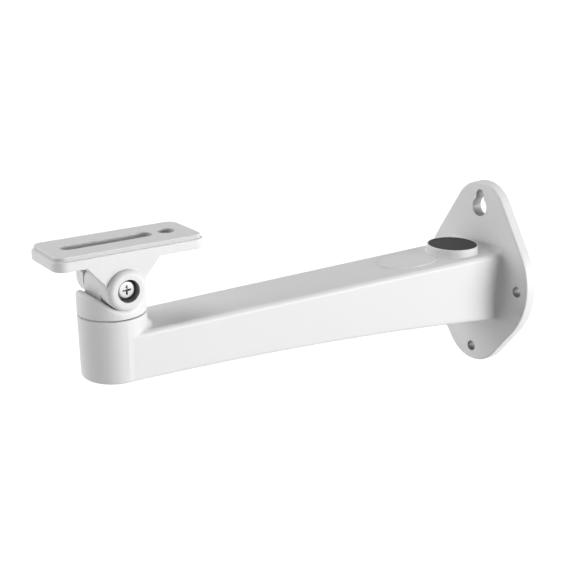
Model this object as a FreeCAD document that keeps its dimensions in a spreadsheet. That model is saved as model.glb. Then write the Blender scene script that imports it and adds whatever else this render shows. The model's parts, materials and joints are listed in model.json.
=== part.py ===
import FreeCAD, Part
import math
import os
import Sketcher

# Camera wall bracket, in millimetres, +Z up. The back of the wall plate lies on Y = 0,
# centred on its main disc, and the arm runs out along -Y to the swivelling camera cradle.

Vec = FreeCAD.Vector
START, END, CENTRE = range(1, 4)
X_TURN = FreeCAD.Rotation(Vec(0, 1, 0), 90)
CURVE_SAMPLES = 7

SIZES = (
    # wall plate: a disc, a smaller upper and lower end, and their common tangents
    ("plate_thickness", 7.2, "wall plate thickness"),
    ("disc_radius", 44.0, "wall plate, radius of the middle disc"),
    ("top_radius", 22.1, "wall plate, radius of the upper end"),
    ("top_rise", 41.1, "centre of the upper end above the disc centre"),
    ("foot_radius", 24.3, "wall plate, radius of the lower end"),
    ("foot_drop", 31.3, "centre of the lower end below the disc centre"),
    ("plate_edge_round", 1.2, "round on the front edge of the wall plate"),
    ("wall_hole_radius", 3.25, "screw holes in the wall plate"),
    ("side_hole_offset", 35.8, "side holes from the middle"),
    ("foot_hole_drop", 46.7, "lower hole below the disc centre"),
    ("key_head_radius", 6.0, "keyhole, wide end"),
    ("key_head_height", 47.2, "keyhole, centre of the wide end"),
    ("key_neck_radius", 3.25, "keyhole, narrow end"),
    ("key_neck_rise", 7.8, "keyhole, narrow end above the wide end"),
    # arm and hub
    ("reach", 263.7, "wall to pan axis"),
    ("hub_radius", 17.6, "hub at the end of the arm"),
    ("hub_height", 29.3, "top of the hub"),
    ("hub_stand_out", 0.35, "hub beyond the sides of the arm"),
    ("arm_height", 21.6, "top face of the arm"),
    ("arm_root_half_width", 22.0, "half width of the arm at the wall"),
    ("hub_floor_drop", 4.6, "underside of the arm on the pan axis"),
    ("arm_root_drop", 22.4, "underside of the arm at the wall plate"),
    ("underside_radius", 2448.0, "long arch of the underside"),
    ("draft_angle", 0.7, "casting draft of the sides, degrees"),
    ("arm_wall", 3.2, "wall left round the cored hollow"),
    ("core_stop", 3.0, "solid left between the hollow and the hub"),
    ("core_corner", 2.5, "corner radius of the cored hollow"),
    ("arm_edge_round", 2.7, "round on the upper edges of the arm"),
    ("arm_foot_round", 2.4, "round on the lower edges of the arm and hub"),
    ("hub_blend", 3.0, "hollow blend between arm and hub"),
    ("root_blend", 3.0, "hollow blend between arm and wall plate"),
    ("seam_edge_round", 0.4, "round on the rims beside the pan seam"),
    # cable exit boss and its plug
    ("boss_setback", 28.9, "wall to the axis of the cable boss"),
    ("boss_radius", 15.9, "cable boss, outside"),
    ("boss_rise", 4.9, "cable boss above the arm"),
    ("boss_foot_blend", 1.0, "hollow blend round the foot of the cable boss"),
    ("boss_rim_round", 0.3, "round on the rim of the cable boss"),
    ("cable_bore_radius", 12.0, "cable bore in the boss"),
    ("plug_radius", 15.2, "cable plug, visible disc"),
    ("plug_disc_thickness", 1.8, "cable plug, thickness of the disc"),
    ("plug_sink", 0.1, "cable plug below the rim of the boss"),
    ("plug_fit", 0.1, "clearance round the cable plug"),
    ("plug_edge_round", 0.5, "round on the upper edge of the cable plug"),
    ("plug_skirt_length", 6.0, "cable plug, skirt in the bore"),
    ("plug_skirt_wall", 1.6, "cable plug, wall of the skirt"),
    # blank raised oval on the arm
    ("oval_half_length", 21.0, "raised oval, half length along the arm"),
    ("oval_half_width", 13.0, "raised oval, half width"),
    ("oval_setback", 66.0, "wall to the centre of the raised oval"),
    ("oval_rise", 0.35, "raised oval above the arm"),
    # pan joint
    ("seam_gap", 0.7, "visible seam between hub and swivel"),
    ("seat_gap", 0.1, "running gap at the pan bearing faces"),
    ("land_radius", 13.5, "bearing land under the swivel"),
    ("spigot_radius", 9.0, "spigot of the swivel in the hub"),
    ("spigot_length", 6.0, "spigot below the land"),
    ("spigot_fit", 0.1, "running clearance round the spigot"),
    ("pan_bolt_radius", 4.0, "pan bolt, shank"),
    ("pan_bolt_length", 30.0, "pan bolt, under the head"),
    ("pan_bolt_head_radius", 6.5, "pan bolt, head"),
    ("pan_bolt_head_height", 8.0, "pan bolt, head height"),
    ("pan_bolt_socket", 6.0, "pan bolt, hexagon socket across flats"),
    ("pan_bolt_socket_depth", 4.0, "pan bolt, depth of the socket"),
    ("pan_bolt_edge", 0.8, "pan bolt, round on the head"),
    ("pan_tap_spare", 2.0, "tapped hole beyond the tip of the pan bolt"),
    ("pan_bore_fit", 0.3, "clearance round the shank of the pan bolt"),
    ("pan_washer_radius", 9.5, "pan washer, outside"),
    ("pan_washer_thickness", 1.6, "pan washer, thickness"),
    ("pan_spring_radius", 7.2, "spring washer of the pan bolt, outside"),
    ("pan_spring_thickness", 2.0, "spring washer of the pan bolt, thickness"),
    ("hub_pocket_radius", 11.0, "pocket under the hub"),
    ("hub_pocket_depth", 13.0, "pocket under the hub, depth"),
    ("washer_bore_fit", 0.15, "washers round their screws"),
    ("washer_split", 0.8, "split of the spring washers"),
    # tilt joint
    ("saddle_floor", 4.3, "metal of the swivel under the saddle"),
    ("knuckle_radius", 10.5, "ears of the cradle round the tilt axis"),
    ("tongue_radius", 10.1, "tongue of the swivel round the tilt axis"),
    ("tongue_half_width", 9.0, "half width of the tongue"),
    ("ear_gap", 0.3, "gap between the tongue and each ear"),
    ("saddle_gap", 0.5, "gap under the ears"),
    ("saddle_slope", 35.0, "slope of the saddle beside the knuckle, degrees"),
    ("swivel_rim_round", 2.0, "round on the high rims of the swivel"),
    ("tilt_screw_radius", 2.5, "tilt screw, shank"),
    ("tilt_screw_length", 30.0, "tilt screw, under the head"),
    ("tilt_bore_fit", 0.15, "clearance round the tilt screw"),
    # camera cradle
    ("cradle_half_width", 17.5, "half width of the camera plate and its ears"),
    ("cradle_front", 35.2, "tilt axis to the front end of the camera plate"),
    ("cradle_rear", 46.4, "tilt axis to the rear end of the camera plate"),
    ("cradle_floor", 13.95, "underside of the camera plate above the tilt axis"),
    ("cradle_thickness", 5.05, "camera plate thickness"),
    ("cradle_corner", 6.3, "corner radius of the camera plate"),
    ("cradle_edge_round", 0.5, "round on the edges of the camera plate"),
    ("web_half_length", 19.4, "half length of the ears where they meet the plate"),
    ("web_foot_rise", 3.9, "foot of the ears' slopes above the tilt axis"),
    ("web_foot_round", 3.0, "hollow round at the foot of the ears' slopes"),
    ("screw_boss_rise", 2.9, "screw boss beyond the near ear"),
    ("screw_boss_round", 2.8, "round on the screw boss"),
    ("recess_radius", 5.85, "screw recess in the boss"),
    ("screw_sink", 2.4, "screw head below the boss face"),
    ("slot_half_width", 4.3, "camera slot and hole, half width"),
    ("slot_front", 21.2, "tilt axis to the front centre of the slot"),
    ("slot_rear", 19.4, "tilt axis to the rear centre of the slot"),
    ("camera_hole_rear", 32.3, "tilt axis to the round camera hole"),
    # pad on the camera plate
    ("pad_inset", 1.2, "edge of the camera plate left free round the pad"),
    ("pad_thickness", 2.0, "pad thickness"),
    ("pad_edge_round", 0.5, "round on the upper edge of the pad"),
    ("pad_opening_fit", 0.3, "pad openings beyond those of the plate"),
    # tilt fasteners
    ("screw_head_radius", 4.75, "tilt screw, head"),
    ("screw_head_height", 3.6, "tilt screw, head height"),
    ("screw_dome_round", 1.25, "tilt screw, round of the head"),
    ("cross_half_span", 2.6, "tilt screw, half span of the cross recess"),
    ("cross_half_width", 0.6, "tilt screw, half width of the cross arms"),
    ("cross_depth", 2.2, "tilt screw, depth of the cross recess"),
    ("tilt_washer_radius", 5.0, "tilt washer, outside"),
    ("tilt_washer_thickness", 1.0, "tilt washer, thickness"),
    ("tilt_spring_radius", 4.5, "tilt spring washer, outside"),
    ("tilt_spring_thickness", 1.2, "tilt spring washer, thickness"),
    ("nut_flats", 8.0, "tilt nut across flats"),
    ("nut_height", 4.0, "tilt nut height"),
    ("nut_pocket_fit", 0.1, "clearance round the nut"),
    ("nut_pocket_depth", 5.5, "nut pocket in the far ear"),
)

# Places that follow from the sizes, written as expressions of the sheet.
SADDLE_RADIUS = "(knuckle_radius + saddle_gap)"
SEAM_LEVEL = f"(-{SADDLE_RADIUS} - saddle_floor)"
TILT_HEIGHT = f"(hub_height + seam_gap - {SEAM_LEVEL})"
TONGUE_ROOT = f"({SADDLE_RADIUS} + saddle_floor / 2)"
LAND_LEVEL = f"({SEAM_LEVEL} - seam_gap + seat_gap)"
DRUM_LENGTH = f"knuckle_radius / 2 - {SEAM_LEVEL}"
SPIGOT_END = f"({LAND_LEVEL} - spigot_length)"
PAN_WASHER_SEAT = "(hub_pocket_depth - hub_floor_drop - seat_gap - pan_washer_thickness)"
PAN_HEAD_SEAT = f"({PAN_WASHER_SEAT} - pan_spring_thickness)"
BOSS_FACE = "(cradle_half_width + screw_boss_rise)"
SCREW_HEAD_SEAT = f"({BOSS_FACE} - screw_sink - screw_head_height)"
TILT_SPRING_SEAT = f"({SCREW_HEAD_SEAT} - tilt_spring_thickness)"
RECESS_FLOOR = f"({TILT_SPRING_SEAT} - tilt_washer_thickness)"
NUT_SEAT = "(cradle_half_width - nut_pocket_depth)"
CRADLE_TOP = "(cradle_floor + cradle_thickness)"
CORE_END = "(reach - hub_radius - core_stop)"

doc = FreeCAD.newDocument("camera_wall_bracket")
sheet = doc.addObject("Spreadsheet::Sheet", "Sizes")
for row, (alias, value, note) in enumerate(SIZES, start=1):
    sheet.set(f"A{row}", note)
    sheet.set(f"B{row}", str(value))
    sheet.setAlias(f"B{row}", alias)
doc.recompute()
ALIASES = {alias for alias, _, _ in SIZES}


def cells(expression):
    """Writes each word of an expression that names a size as a cell of the sheet."""
    words, word = [], ""
    for letter in expression + " ":
        if letter.isalnum() or letter in "_.":
            word += letter
            continue
        words.append("Sizes." + word if word in ALIASES else word)
        words.append(letter)
        word = ""
    return "".join(words).strip()


def number(expression):
    """The present value of an expression of sizes."""
    value = sheet.evalExpression(cells(expression))
    return float(getattr(value, "Value", value))


def bind(target, path, expression):
    target.setExpression(path, cells(expression))


def new_body(name, x="0", y="0", z="0", rotation=None):
    """An empty body with its label, turned if asked, at a place bound to the sheet."""
    body = doc.addObject("PartDesign::Body", name)
    body.Label = name
    if rotation is not None:
        body.Placement = FreeCAD.Placement(Vec(), rotation)
    for axis, expression in (("x", x), ("y", y), ("z", z)):
        bind(body, f"Placement.Base.{axis}", expression)
    return body


def new_sketch(body, name, role, lift="0"):
    """A sketch on one of the body's origin planes, lifted along the plane's normal."""
    sketch = body.newObject("Sketcher::SketchObject", name)
    plane = next(f for f in body.Origin.OriginFeatures if f.Role == role)
    sketch.AttachmentSupport = (plane, [""])
    sketch.MapMode = "FlatFace"
    bind(sketch, "AttachmentOffset.Base.z", lift)
    return sketch


def hold(sketch, kind, refs, expression):
    """A driving dimension whose value comes from the sheet."""
    index = sketch.addConstraint(Sketcher.Constraint(kind, *refs, number(expression)))
    sketch.setExpression(f"Constraints[{index}]", cells(expression))


def place_point(sketch, geo, pos, x=None, y=None):
    for kind, expression in (("DistanceX", x), ("DistanceY", y)):
        if expression is not None:
            hold(sketch, kind, (geo, pos), expression)


def line(sketch, a, b):
    return sketch.addGeometry(Part.LineSegment(Vec(a[0], a[1], 0), Vec(b[0], b[1], 0)), False)


def arc(sketch, centre, radius, start_deg, end_deg):
    circle = Part.Circle(Vec(centre[0], centre[1], 0), Vec(0, 0, 1), radius)
    angles = math.radians(start_deg), math.radians(end_deg)
    return sketch.addGeometry(Part.ArcOfCircle(circle, *angles), False)


def close_ring(sketch, ring, kinds):
    """Joins each curve's end to the next one's start, by Tangent or Coincident."""
    for kind, first, second in zip(kinds, ring, ring[1:] + ring[:1]):
        sketch.addConstraint(Sketcher.Constraint(kind, first, END, second, START))


def level(sketch, kind, *lines):
    for geo in lines:
        sketch.addConstraint(Sketcher.Constraint(kind, geo))


def polygon(sketch, corners):
    """A closed outline of straight lines through corners given as pairs of expressions."""
    points = [(number(x), number(y)) for x, y in corners]
    lines = [line(sketch, p, q) for p, q in zip(points, points[1:] + points[:1])]
    close_ring(sketch, lines, ["Coincident"] * len(lines))
    for geo, (x, y) in zip(lines, corners):
        place_point(sketch, geo, START, x, y)


def circle(sketch, x, y, radius):
    shape = Part.Circle(Vec(number(x), number(y), 0), Vec(0, 0, 1), number(radius))
    geo = sketch.addGeometry(shape, False)
    place_point(sketch, geo, CENTRE, x, y)
    hold(sketch, "Radius", (geo,), radius)


def hexagon(sketch, flats, first_corner=0):
    """A hexagon round the sketch origin, with its width across flats and one corner's bearing."""
    corner = f"({flats}) / sqrt(3)"
    turns = [f"{first_corner + turn} * 1 deg" for turn in range(0, 360, 60)]
    polygon(sketch, [(f"{corner} * cos({t})", f"{corner} * sin({t})") for t in turns])


def rounded_rectangle(sketch, half_width, low, high, radius):
    """A rectangle from low to high along the sketch's y, with equal corner arcs."""
    w, a, b, r = (number(text) for text in (half_width, low, high, radius))
    right = line(sketch, (w, a + r), (w, b - r))
    first_corner = arc(sketch, (w - r, b - r), r, 0, 90)
    upper = line(sketch, (w - r, b), (-w + r, b))
    second_corner = arc(sketch, (-w + r, b - r), r, 90, 180)
    left = line(sketch, (-w, b - r), (-w, a + r))
    third_corner = arc(sketch, (-w + r, a + r), r, 180, 270)
    lower = line(sketch, (-w + r, a), (w - r, a))
    last_corner = arc(sketch, (w - r, a + r), r, 270, 360)
    ring = (right, first_corner, upper, second_corner, left, third_corner, lower, last_corner)
    close_ring(sketch, ring, ["Tangent"] * len(ring))
    level(sketch, "Vertical", right, left)
    level(sketch, "Horizontal", upper, lower)
    place_point(sketch, right, START, x=half_width)
    place_point(sketch, left, START, x=f"-({half_width})")
    place_point(sketch, upper, START, y=high)
    place_point(sketch, lower, START, y=low)
    hold(sketch, "Radius", (first_corner,), radius)
    for geo in (second_corner, third_corner, last_corner):
        sketch.addConstraint(Sketcher.Constraint("Equal", first_corner, geo))


def long_slot(sketch, half_width, low, high):
    """A round-ended slot along the sketch's y between two centres."""
    w, a, b = (number(text) for text in (half_width, low, high))
    right = line(sketch, (w, a), (w, b))
    upper = arc(sketch, (0, b), w, 0, 180)
    left = line(sketch, (-w, b), (-w, a))
    lower = arc(sketch, (0, a), w, 180, 360)
    ring = (right, upper, left, lower)
    close_ring(sketch, ring, ["Tangent"] * len(ring))
    place_point(sketch, upper, CENTRE, "0", high)
    place_point(sketch, lower, CENTRE, "0", low)
    hold(sketch, "Radius", (upper,), half_width)


def extrude(body, kind, name, sketch, length, midplane=False, reverse=False, taper=None):
    feature = body.newObject(f"PartDesign::{kind}", name)
    feature.Profile = sketch
    feature.Midplane = midplane
    feature.Reversed = reverse
    bind(feature, "Length", length)
    if taper is not None:
        bind(feature, "TaperAngle", taper)
    return feature


def cylinder(body, name, radius, height, x="0", y="0", z="0", along_x=False, cut=False):
    """A turned boss, or a drilled hole, from its start point along +Z or +X."""
    kind = "Subtractive" if cut else "Additive"
    feature = body.newObject(f"PartDesign::{kind}Cylinder", name)
    if along_x:
        feature.Placement = FreeCAD.Placement(Vec(), X_TURN)
    bind(feature, "Radius", radius)
    bind(feature, "Height", height)
    for axis, expression in (("x", x), ("y", y), ("z", z)):
        bind(feature, f"Placement.Base.{axis}", expression)
    return feature


def round_edges(body, name, base, radius, wanted):
    """Rounds the edges of a feature that pass a test."""
    doc.recompute()
    names = [f"Edge{i}" for i, edge in enumerate(base.Shape.Edges, start=1) if wanted(edge)]
    if not names:
        raise RuntimeError(f"{name}: no edge found to round")
    feature = body.newObject("PartDesign::Fillet", name)
    feature.Base = (base, names)
    bind(feature, "Radius", radius)
    return feature


def near(a, b, tolerance=0.02):
    return abs(a - b) < tolerance


def points_of(edge):
    """Points spread evenly along an edge, its ends included."""
    first, last = edge.ParameterRange
    steps = range(CURVE_SAMPLES)
    return [edge.valueAt(first + (last - first) * i / (CURVE_SAMPLES - 1)) for i in steps]


def lies_at(axis, value):
    """A test for edges that lie wholly where one coordinate has this value."""
    return lambda edge: all(near(getattr(point, axis), value) for point in points_of(edge))


def lies_round(radius, centre_y=0.0):
    """A test for edges that keep this distance from an upright axis."""
    return lambda edge: all(
        near(math.hypot(point.x, point.y - centre_y), radius) for point in points_of(edge)
    )


def underside_arch():
    """Centre of the long arch of the underside, as Y and Z."""
    y0, z0 = -number("reach"), -number("hub_floor_drop")
    y1, z1 = -number("plate_thickness"), -number("arm_root_drop")
    chord = math.hypot(y1 - y0, z1 - z0)
    depth = math.sqrt(number("underside_radius") ** 2 - chord**2 / 4)
    return (y0 + y1) / 2 + (z1 - z0) / chord * depth, (z0 + z1) / 2 - (y1 - y0) / chord * depth


def add_arm_and_hub(body):
    """The drafted box arm with its rounded upper edges, and the round hub at its end."""
    plan = new_sketch(body, "arm_plan", "XY_Plane", "arm_height")
    neck = "hub_radius - hub_stand_out"
    corners = (
        ("arm_root_half_width", "0"),
        ("-arm_root_half_width", "0"),
        (f"-({neck})", "-reach"),
        (neck, "-reach"),
    )
    polygon(plan, corners)
    depth = "arm_height + arm_root_drop"
    block = extrude(body, "Pad", "arm_block", plan, depth, reverse=True, taper="-draft_angle")
    on_top, half_reach = lies_at("z", number("arm_height")), number("reach") / 2
    round_edges(
        body, "arm_upper_round", block, "arm_edge_round",
        lambda edge: on_top(edge) and edge.Length > half_reach,
    )
    outline = new_sketch(body, "hub_outline", "XY_Plane", "hub_height")
    circle(outline, "0", "-reach", "hub_radius")
    depth = "hub_height + hub_floor_drop + hub_radius / 2"
    extrude(body, "Pad", "hub", outline, depth, reverse=True, taper="-draft_angle")


def cut_underside(body):
    """Takes away everything under the long arch between the wall plate and the hub."""
    sketch = new_sketch(body, "underside", "YZ_Plane")
    centre_y, centre_z = underside_arch()
    radius = number("underside_radius")
    wall_y, far_y, low_z = "-plate_thickness", "-(reach + 2 * hub_radius)", "-2 * arm_root_drop"
    start, far_end, deep = number(wall_y), number(far_y), number(low_z)

    def height(y):
        return centre_z + math.sqrt(radius**2 - (y - centre_y) ** 2)

    def bearing(y):
        return math.degrees(math.acos((y - centre_y) / radius))

    arch = arc(sketch, (centre_y, centre_z), radius, bearing(start), bearing(far_end))
    far = line(sketch, (far_end, height(far_end)), (far_end, deep))
    floor = line(sketch, (far_end, deep), (start, deep))
    wall = line(sketch, (start, deep), (start, height(start)))
    close_ring(sketch, (arch, far, floor, wall), ["Coincident"] * 4)
    level(sketch, "Vertical", far)
    place_point(sketch, floor, START, far_y, low_z)
    place_point(sketch, wall, START, wall_y, low_z)
    place_point(sketch, arch, START, wall_y, "-arm_root_drop")
    hold(sketch, "Radius", (arch,), "underside_radius")
    mark = sketch.addGeometry(Part.Point(Vec(-number("reach"), -number("hub_floor_drop"), 0)), True)
    place_point(sketch, mark, START, "-reach", "-hub_floor_drop")
    sketch.addConstraint(Sketcher.Constraint("PointOnObject", mark, START, arch))
    width = "4 * arm_root_half_width"
    return extrude(body, "Pocket", "underside_cut", sketch, width, midplane=True)


def blend_arm_and_hub(body, base):
    """The hollow blend where the arm runs into the hub, then the round of the lower edges."""
    reach, arm_top = number("reach"), number("arm_height")
    hub_top, hub_radius = number("hub_height"), number("hub_radius")
    slope = number("tan(draft_angle * 1 deg)")
    centre_y, centre_z = underside_arch()
    arch_radius = number("underside_radius")

    def on_hub(point):
        radius = hub_radius - (hub_top - point.z) * slope
        return near(math.hypot(point.x, point.y + reach), radius)

    def on_arch(point):
        return near(math.hypot(point.y - centre_y, point.z - centre_z), arch_radius)

    def junction(edge):
        points = points_of(edge)
        below_top = all(point.z < arm_top + 0.01 for point in points)
        return all(map(on_hub, points)) and below_top and not all(map(on_arch, points))

    def lower_edge(edge):
        return all(map(on_arch, points_of(edge))) and not near(edge.BoundBox.YLength, 0, 0.1)

    blend = round_edges(body, "arm_to_hub_blend", base, "hub_blend", junction)
    return round_edges(body, "lower_round", blend, "arm_foot_round", lower_edge)


def add_wall_plate(body):
    """The kite-shaped plate, with its rounded front edge and the blend at the arm's root."""
    sketch = new_sketch(body, "plate_outline", "XZ_Plane")
    disc, top, foot = (number(name) for name in ("disc_radius", "top_radius", "foot_radius"))
    rise, drop = number("top_rise"), number("foot_drop")
    up = math.degrees(math.asin((disc - top) / rise))
    down = math.degrees(math.asin((disc - foot) / drop))

    def rim(centre_z, radius, degrees):
        turn = math.radians(degrees)
        return radius * math.cos(turn), centre_z + radius * math.sin(turn)

    right = arc(sketch, (0, 0), disc, -down, up)
    upper_right = line(sketch, rim(0, disc, up), rim(rise, top, up))
    top_end = arc(sketch, (0, rise), top, up, 180 - up)
    upper_left = line(sketch, rim(rise, top, 180 - up), rim(0, disc, 180 - up))
    left = arc(sketch, (0, 0), disc, 180 - up, 180 + down)
    lower_left = line(sketch, rim(0, disc, 180 + down), rim(-drop, foot, 180 + down))
    low_end = arc(sketch, (0, -drop), foot, 180 + down, 360 - down)
    lower_right = line(sketch, rim(-drop, foot, -down), rim(0, disc, -down))
    ring = (right, upper_right, top_end, upper_left, left, lower_left, low_end, lower_right)
    close_ring(sketch, ring, ["Tangent"] * len(ring))
    for geo, height, radius in (
        (right, "0", "disc_radius"),
        (left, "0", "disc_radius"),
        (top_end, "top_rise", "top_radius"),
        (low_end, "-foot_drop", "foot_radius"),
    ):
        place_point(sketch, geo, CENTRE, "0", height)
        hold(sketch, "Radius", (geo,), radius)
    plate = extrude(body, "Pad", "wall_plate", sketch, "plate_thickness")
    on_front = lies_at("y", -number("plate_thickness"))
    half_width, arm_top, arm_low = (
        number(name) for name in ("arm_root_half_width", "arm_height", "arm_root_drop")
    )

    def beyond_arm(edge):
        middle = points_of(edge)[CURVE_SAMPLES // 2]
        return abs(middle.x) > half_width + 0.5 or not -arm_low - 0.5 < middle.z < arm_top + 0.5

    edge_round = round_edges(
        body, "plate_front_round", plate, "plate_edge_round",
        lambda edge: on_front(edge) and beyond_arm(edge),
    )
    round_edges(
        body, "arm_root_blend", edge_round, "root_blend",
        lambda edge: on_front(edge) and not beyond_arm(edge),
    )


def add_cable_boss(body):
    boss = cylinder(
        body, "cable_boss", "boss_radius", "boss_rise + arm_wall", y="-boss_setback",
        z="arm_height - arm_wall",
    )
    on_boss = lies_round(number("boss_radius"), -number("boss_setback"))
    at_foot, at_rim = lies_at("z", number("arm_height")), lies_at("z", number("arm_height + boss_rise"))
    blend = round_edges(
        body, "boss_foot", boss, "boss_foot_blend", lambda edge: on_boss(edge) and at_foot(edge)
    )
    round_edges(
        body, "boss_rim", blend, "boss_rim_round", lambda edge: on_boss(edge) and at_rim(edge)
    )


def add_blank_oval(body):
    """The low raised oval on the arm, left bare."""
    sketch = new_sketch(body, "oval_outline", "XY_Plane", "arm_height")
    centre = Vec(0, -number("oval_setback"), 0)
    end = centre + Vec(0, number("oval_half_length"), 0)
    side = centre - Vec(number("oval_half_width"), 0, 0)
    oval = sketch.addGeometry(Part.Ellipse(end, side, centre), False)
    sketch.exposeInternalGeometry(oval)
    long_axis, short_axis = oval + 1, oval + 2
    place_point(sketch, oval, CENTRE, "0", "-oval_setback")
    level(sketch, "Vertical", long_axis)
    hold(sketch, "Distance", (long_axis,), "2 * oval_half_length")
    hold(sketch, "Distance", (short_axis,), "2 * oval_half_width")
    extrude(body, "Pad", "raised_oval", sketch, "oval_rise")


def cut_wall_holes(body):
    sketch = new_sketch(body, "wall_holes", "XZ_Plane")
    circle(sketch, "side_hole_offset", "0", "wall_hole_radius")
    circle(sketch, "-side_hole_offset", "0", "wall_hole_radius")
    circle(sketch, "0", "-foot_hole_drop", "wall_hole_radius")
    extrude(body, "Pocket", "screw_holes", sketch, "plate_thickness", reverse=True)
    head = new_sketch(body, "keyhole_head", "XZ_Plane")
    circle(head, "0", "key_head_height", "key_head_radius")
    extrude(body, "Pocket", "keyhole_wide_end", head, "plate_thickness", reverse=True)
    neck = new_sketch(body, "keyhole_neck", "XZ_Plane")
    long_slot(neck, "key_neck_radius", "key_head_height", "key_head_height + key_neck_rise")
    extrude(body, "Pocket", "keyhole_narrow_end", neck, "plate_thickness", reverse=True)


def cut_core(body):
    """The cored hollow of the arm, open at the wall, with a wall left all round."""
    narrowing = "(arm_root_half_width - hub_radius + hub_stand_out) / reach"
    draft = "tan(draft_angle * 1 deg) * (arm_height + arm_root_drop)"
    floor_slope = "(arm_root_drop - hub_floor_drop) / (reach - plate_thickness)"
    sections = []
    for name, distance in (("wall", "0"), ("middle", f"{CORE_END} / 2"), ("hub", CORE_END)):
        half = f"arm_root_half_width - {narrowing} * {distance} - {draft} - arm_wall"
        run = f"({distance} - plate_thickness)"
        sag = f"{run} * (reach - {distance}) / 2 / underside_radius"
        low = f"{floor_slope} * {run} - arm_root_drop + {sag} + arm_wall"
        section = new_sketch(body, f"core_at_{name}", "XZ_Plane", distance)
        rounded_rectangle(section, half, low, "arm_height - arm_wall", "core_corner")
        sections.append(section)
    loft = body.newObject("PartDesign::SubtractiveLoft", "cored_hollow")
    loft.Profile = sections[0]
    loft.Sections = sections[1:]
    loft.Ruled = True


def cut_hub_and_boss_bores(body):
    cylinder(
        body, "cable_bore", "cable_bore_radius", "boss_rise + 2 * arm_wall", y="-boss_setback",
        z="arm_height - 2 * arm_wall", cut=True,
    )
    cylinder(
        body, "plug_seat", "plug_radius + plug_fit", "plug_disc_thickness + plug_sink",
        y="-boss_setback", z="arm_height + boss_rise - plug_disc_thickness - plug_sink", cut=True,
    )
    cylinder(
        body, "hub_pocket", "hub_pocket_radius", "hub_pocket_depth + arm_wall", y="-reach",
        z="-hub_floor_drop - arm_wall", cut=True,
    )
    cylinder(
        body, "pan_bore", "pan_bolt_radius + pan_bore_fit", "hub_height + hub_floor_drop",
        y="-reach", z="-hub_floor_drop", cut=True,
    )
    cylinder(
        body, "spigot_seat", "spigot_radius + spigot_fit", "spigot_length + seat_gap", y="-reach",
        z="hub_height - spigot_length", cut=True,
    )


def build_wall_arm():
    body = new_body("wall_arm")
    add_arm_and_hub(body)
    blend_arm_and_hub(body, cut_underside(body))
    add_wall_plate(body)
    add_cable_boss(body)
    add_blank_oval(body)
    cut_wall_holes(body)
    cut_core(body)
    cut_hub_and_boss_bores(body)
    on_hub = lies_round(number("hub_radius"), -number("reach"))
    at_top = lies_at("z", number("hub_height"))
    round_edges(
        body, "hub_rim", body.Tip, "seam_edge_round", lambda edge: on_hub(edge) and at_top(edge)
    )
    return body


def build_cable_plug():
    body = new_body("cable_plug", y="-boss_setback", z="arm_height + boss_rise - plug_sink")
    disc = cylinder(body, "plug_disc", "plug_radius", "plug_disc_thickness", z="-plug_disc_thickness")
    round_edges(body, "plug_edge", disc, "plug_edge_round", lies_at("z", 0))
    skirt, low = "(cable_bore_radius - plug_fit)", "-(plug_disc_thickness + plug_skirt_length)"
    cylinder(body, "skirt", skirt, "plug_skirt_length + plug_disc_thickness / 2", z=low)
    hollow = f"{skirt} - plug_skirt_wall"
    cylinder(body, "skirt_hollow", hollow, "plug_skirt_length", z=low, cut=True)
    return body


def cut_saddle(body):
    """The trough across the swivel: an arc round the tilt axis between two rising slopes."""
    sketch = new_sketch(body, "saddle_profile", "YZ_Plane")
    far, high = "hub_radius * 1.2", "knuckle_radius"
    touch = f"{SADDLE_RADIUS} * sin(saddle_slope * 1 deg)"
    radius, slope = number(SADDLE_RADIUS), number("saddle_slope")
    edge, cover_z, touch_y = number(far), number(high), number(touch)
    touch_z = -radius * math.cos(math.radians(slope))
    rim_z = touch_z + (edge - touch_y) * math.tan(math.radians(slope))
    floor = arc(sketch, (0, 0), radius, 270 - slope, 270 + slope)
    rise = line(sketch, (touch_y, touch_z), (edge, rim_z))
    right = line(sketch, (edge, rim_z), (edge, cover_z))
    cover = line(sketch, (edge, cover_z), (-edge, cover_z))
    left = line(sketch, (-edge, cover_z), (-edge, rim_z))
    fall = line(sketch, (-edge, rim_z), (-touch_y, touch_z))
    kinds = ["Tangent"] + ["Coincident"] * 4 + ["Tangent"]
    close_ring(sketch, (floor, rise, right, cover, left, fall), kinds)
    level(sketch, "Vertical", right, left)
    place_point(sketch, floor, CENTRE, "0", "0")
    hold(sketch, "Radius", (floor,), SADDLE_RADIUS)
    place_point(sketch, floor, END, x=touch)
    place_point(sketch, floor, START, x=f"-{touch}")
    place_point(sketch, cover, START, far, high)
    place_point(sketch, cover, END, f"-{far}", high)
    return extrude(body, "Pocket", "saddle", sketch, "4 * hub_radius", midplane=True)


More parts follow.
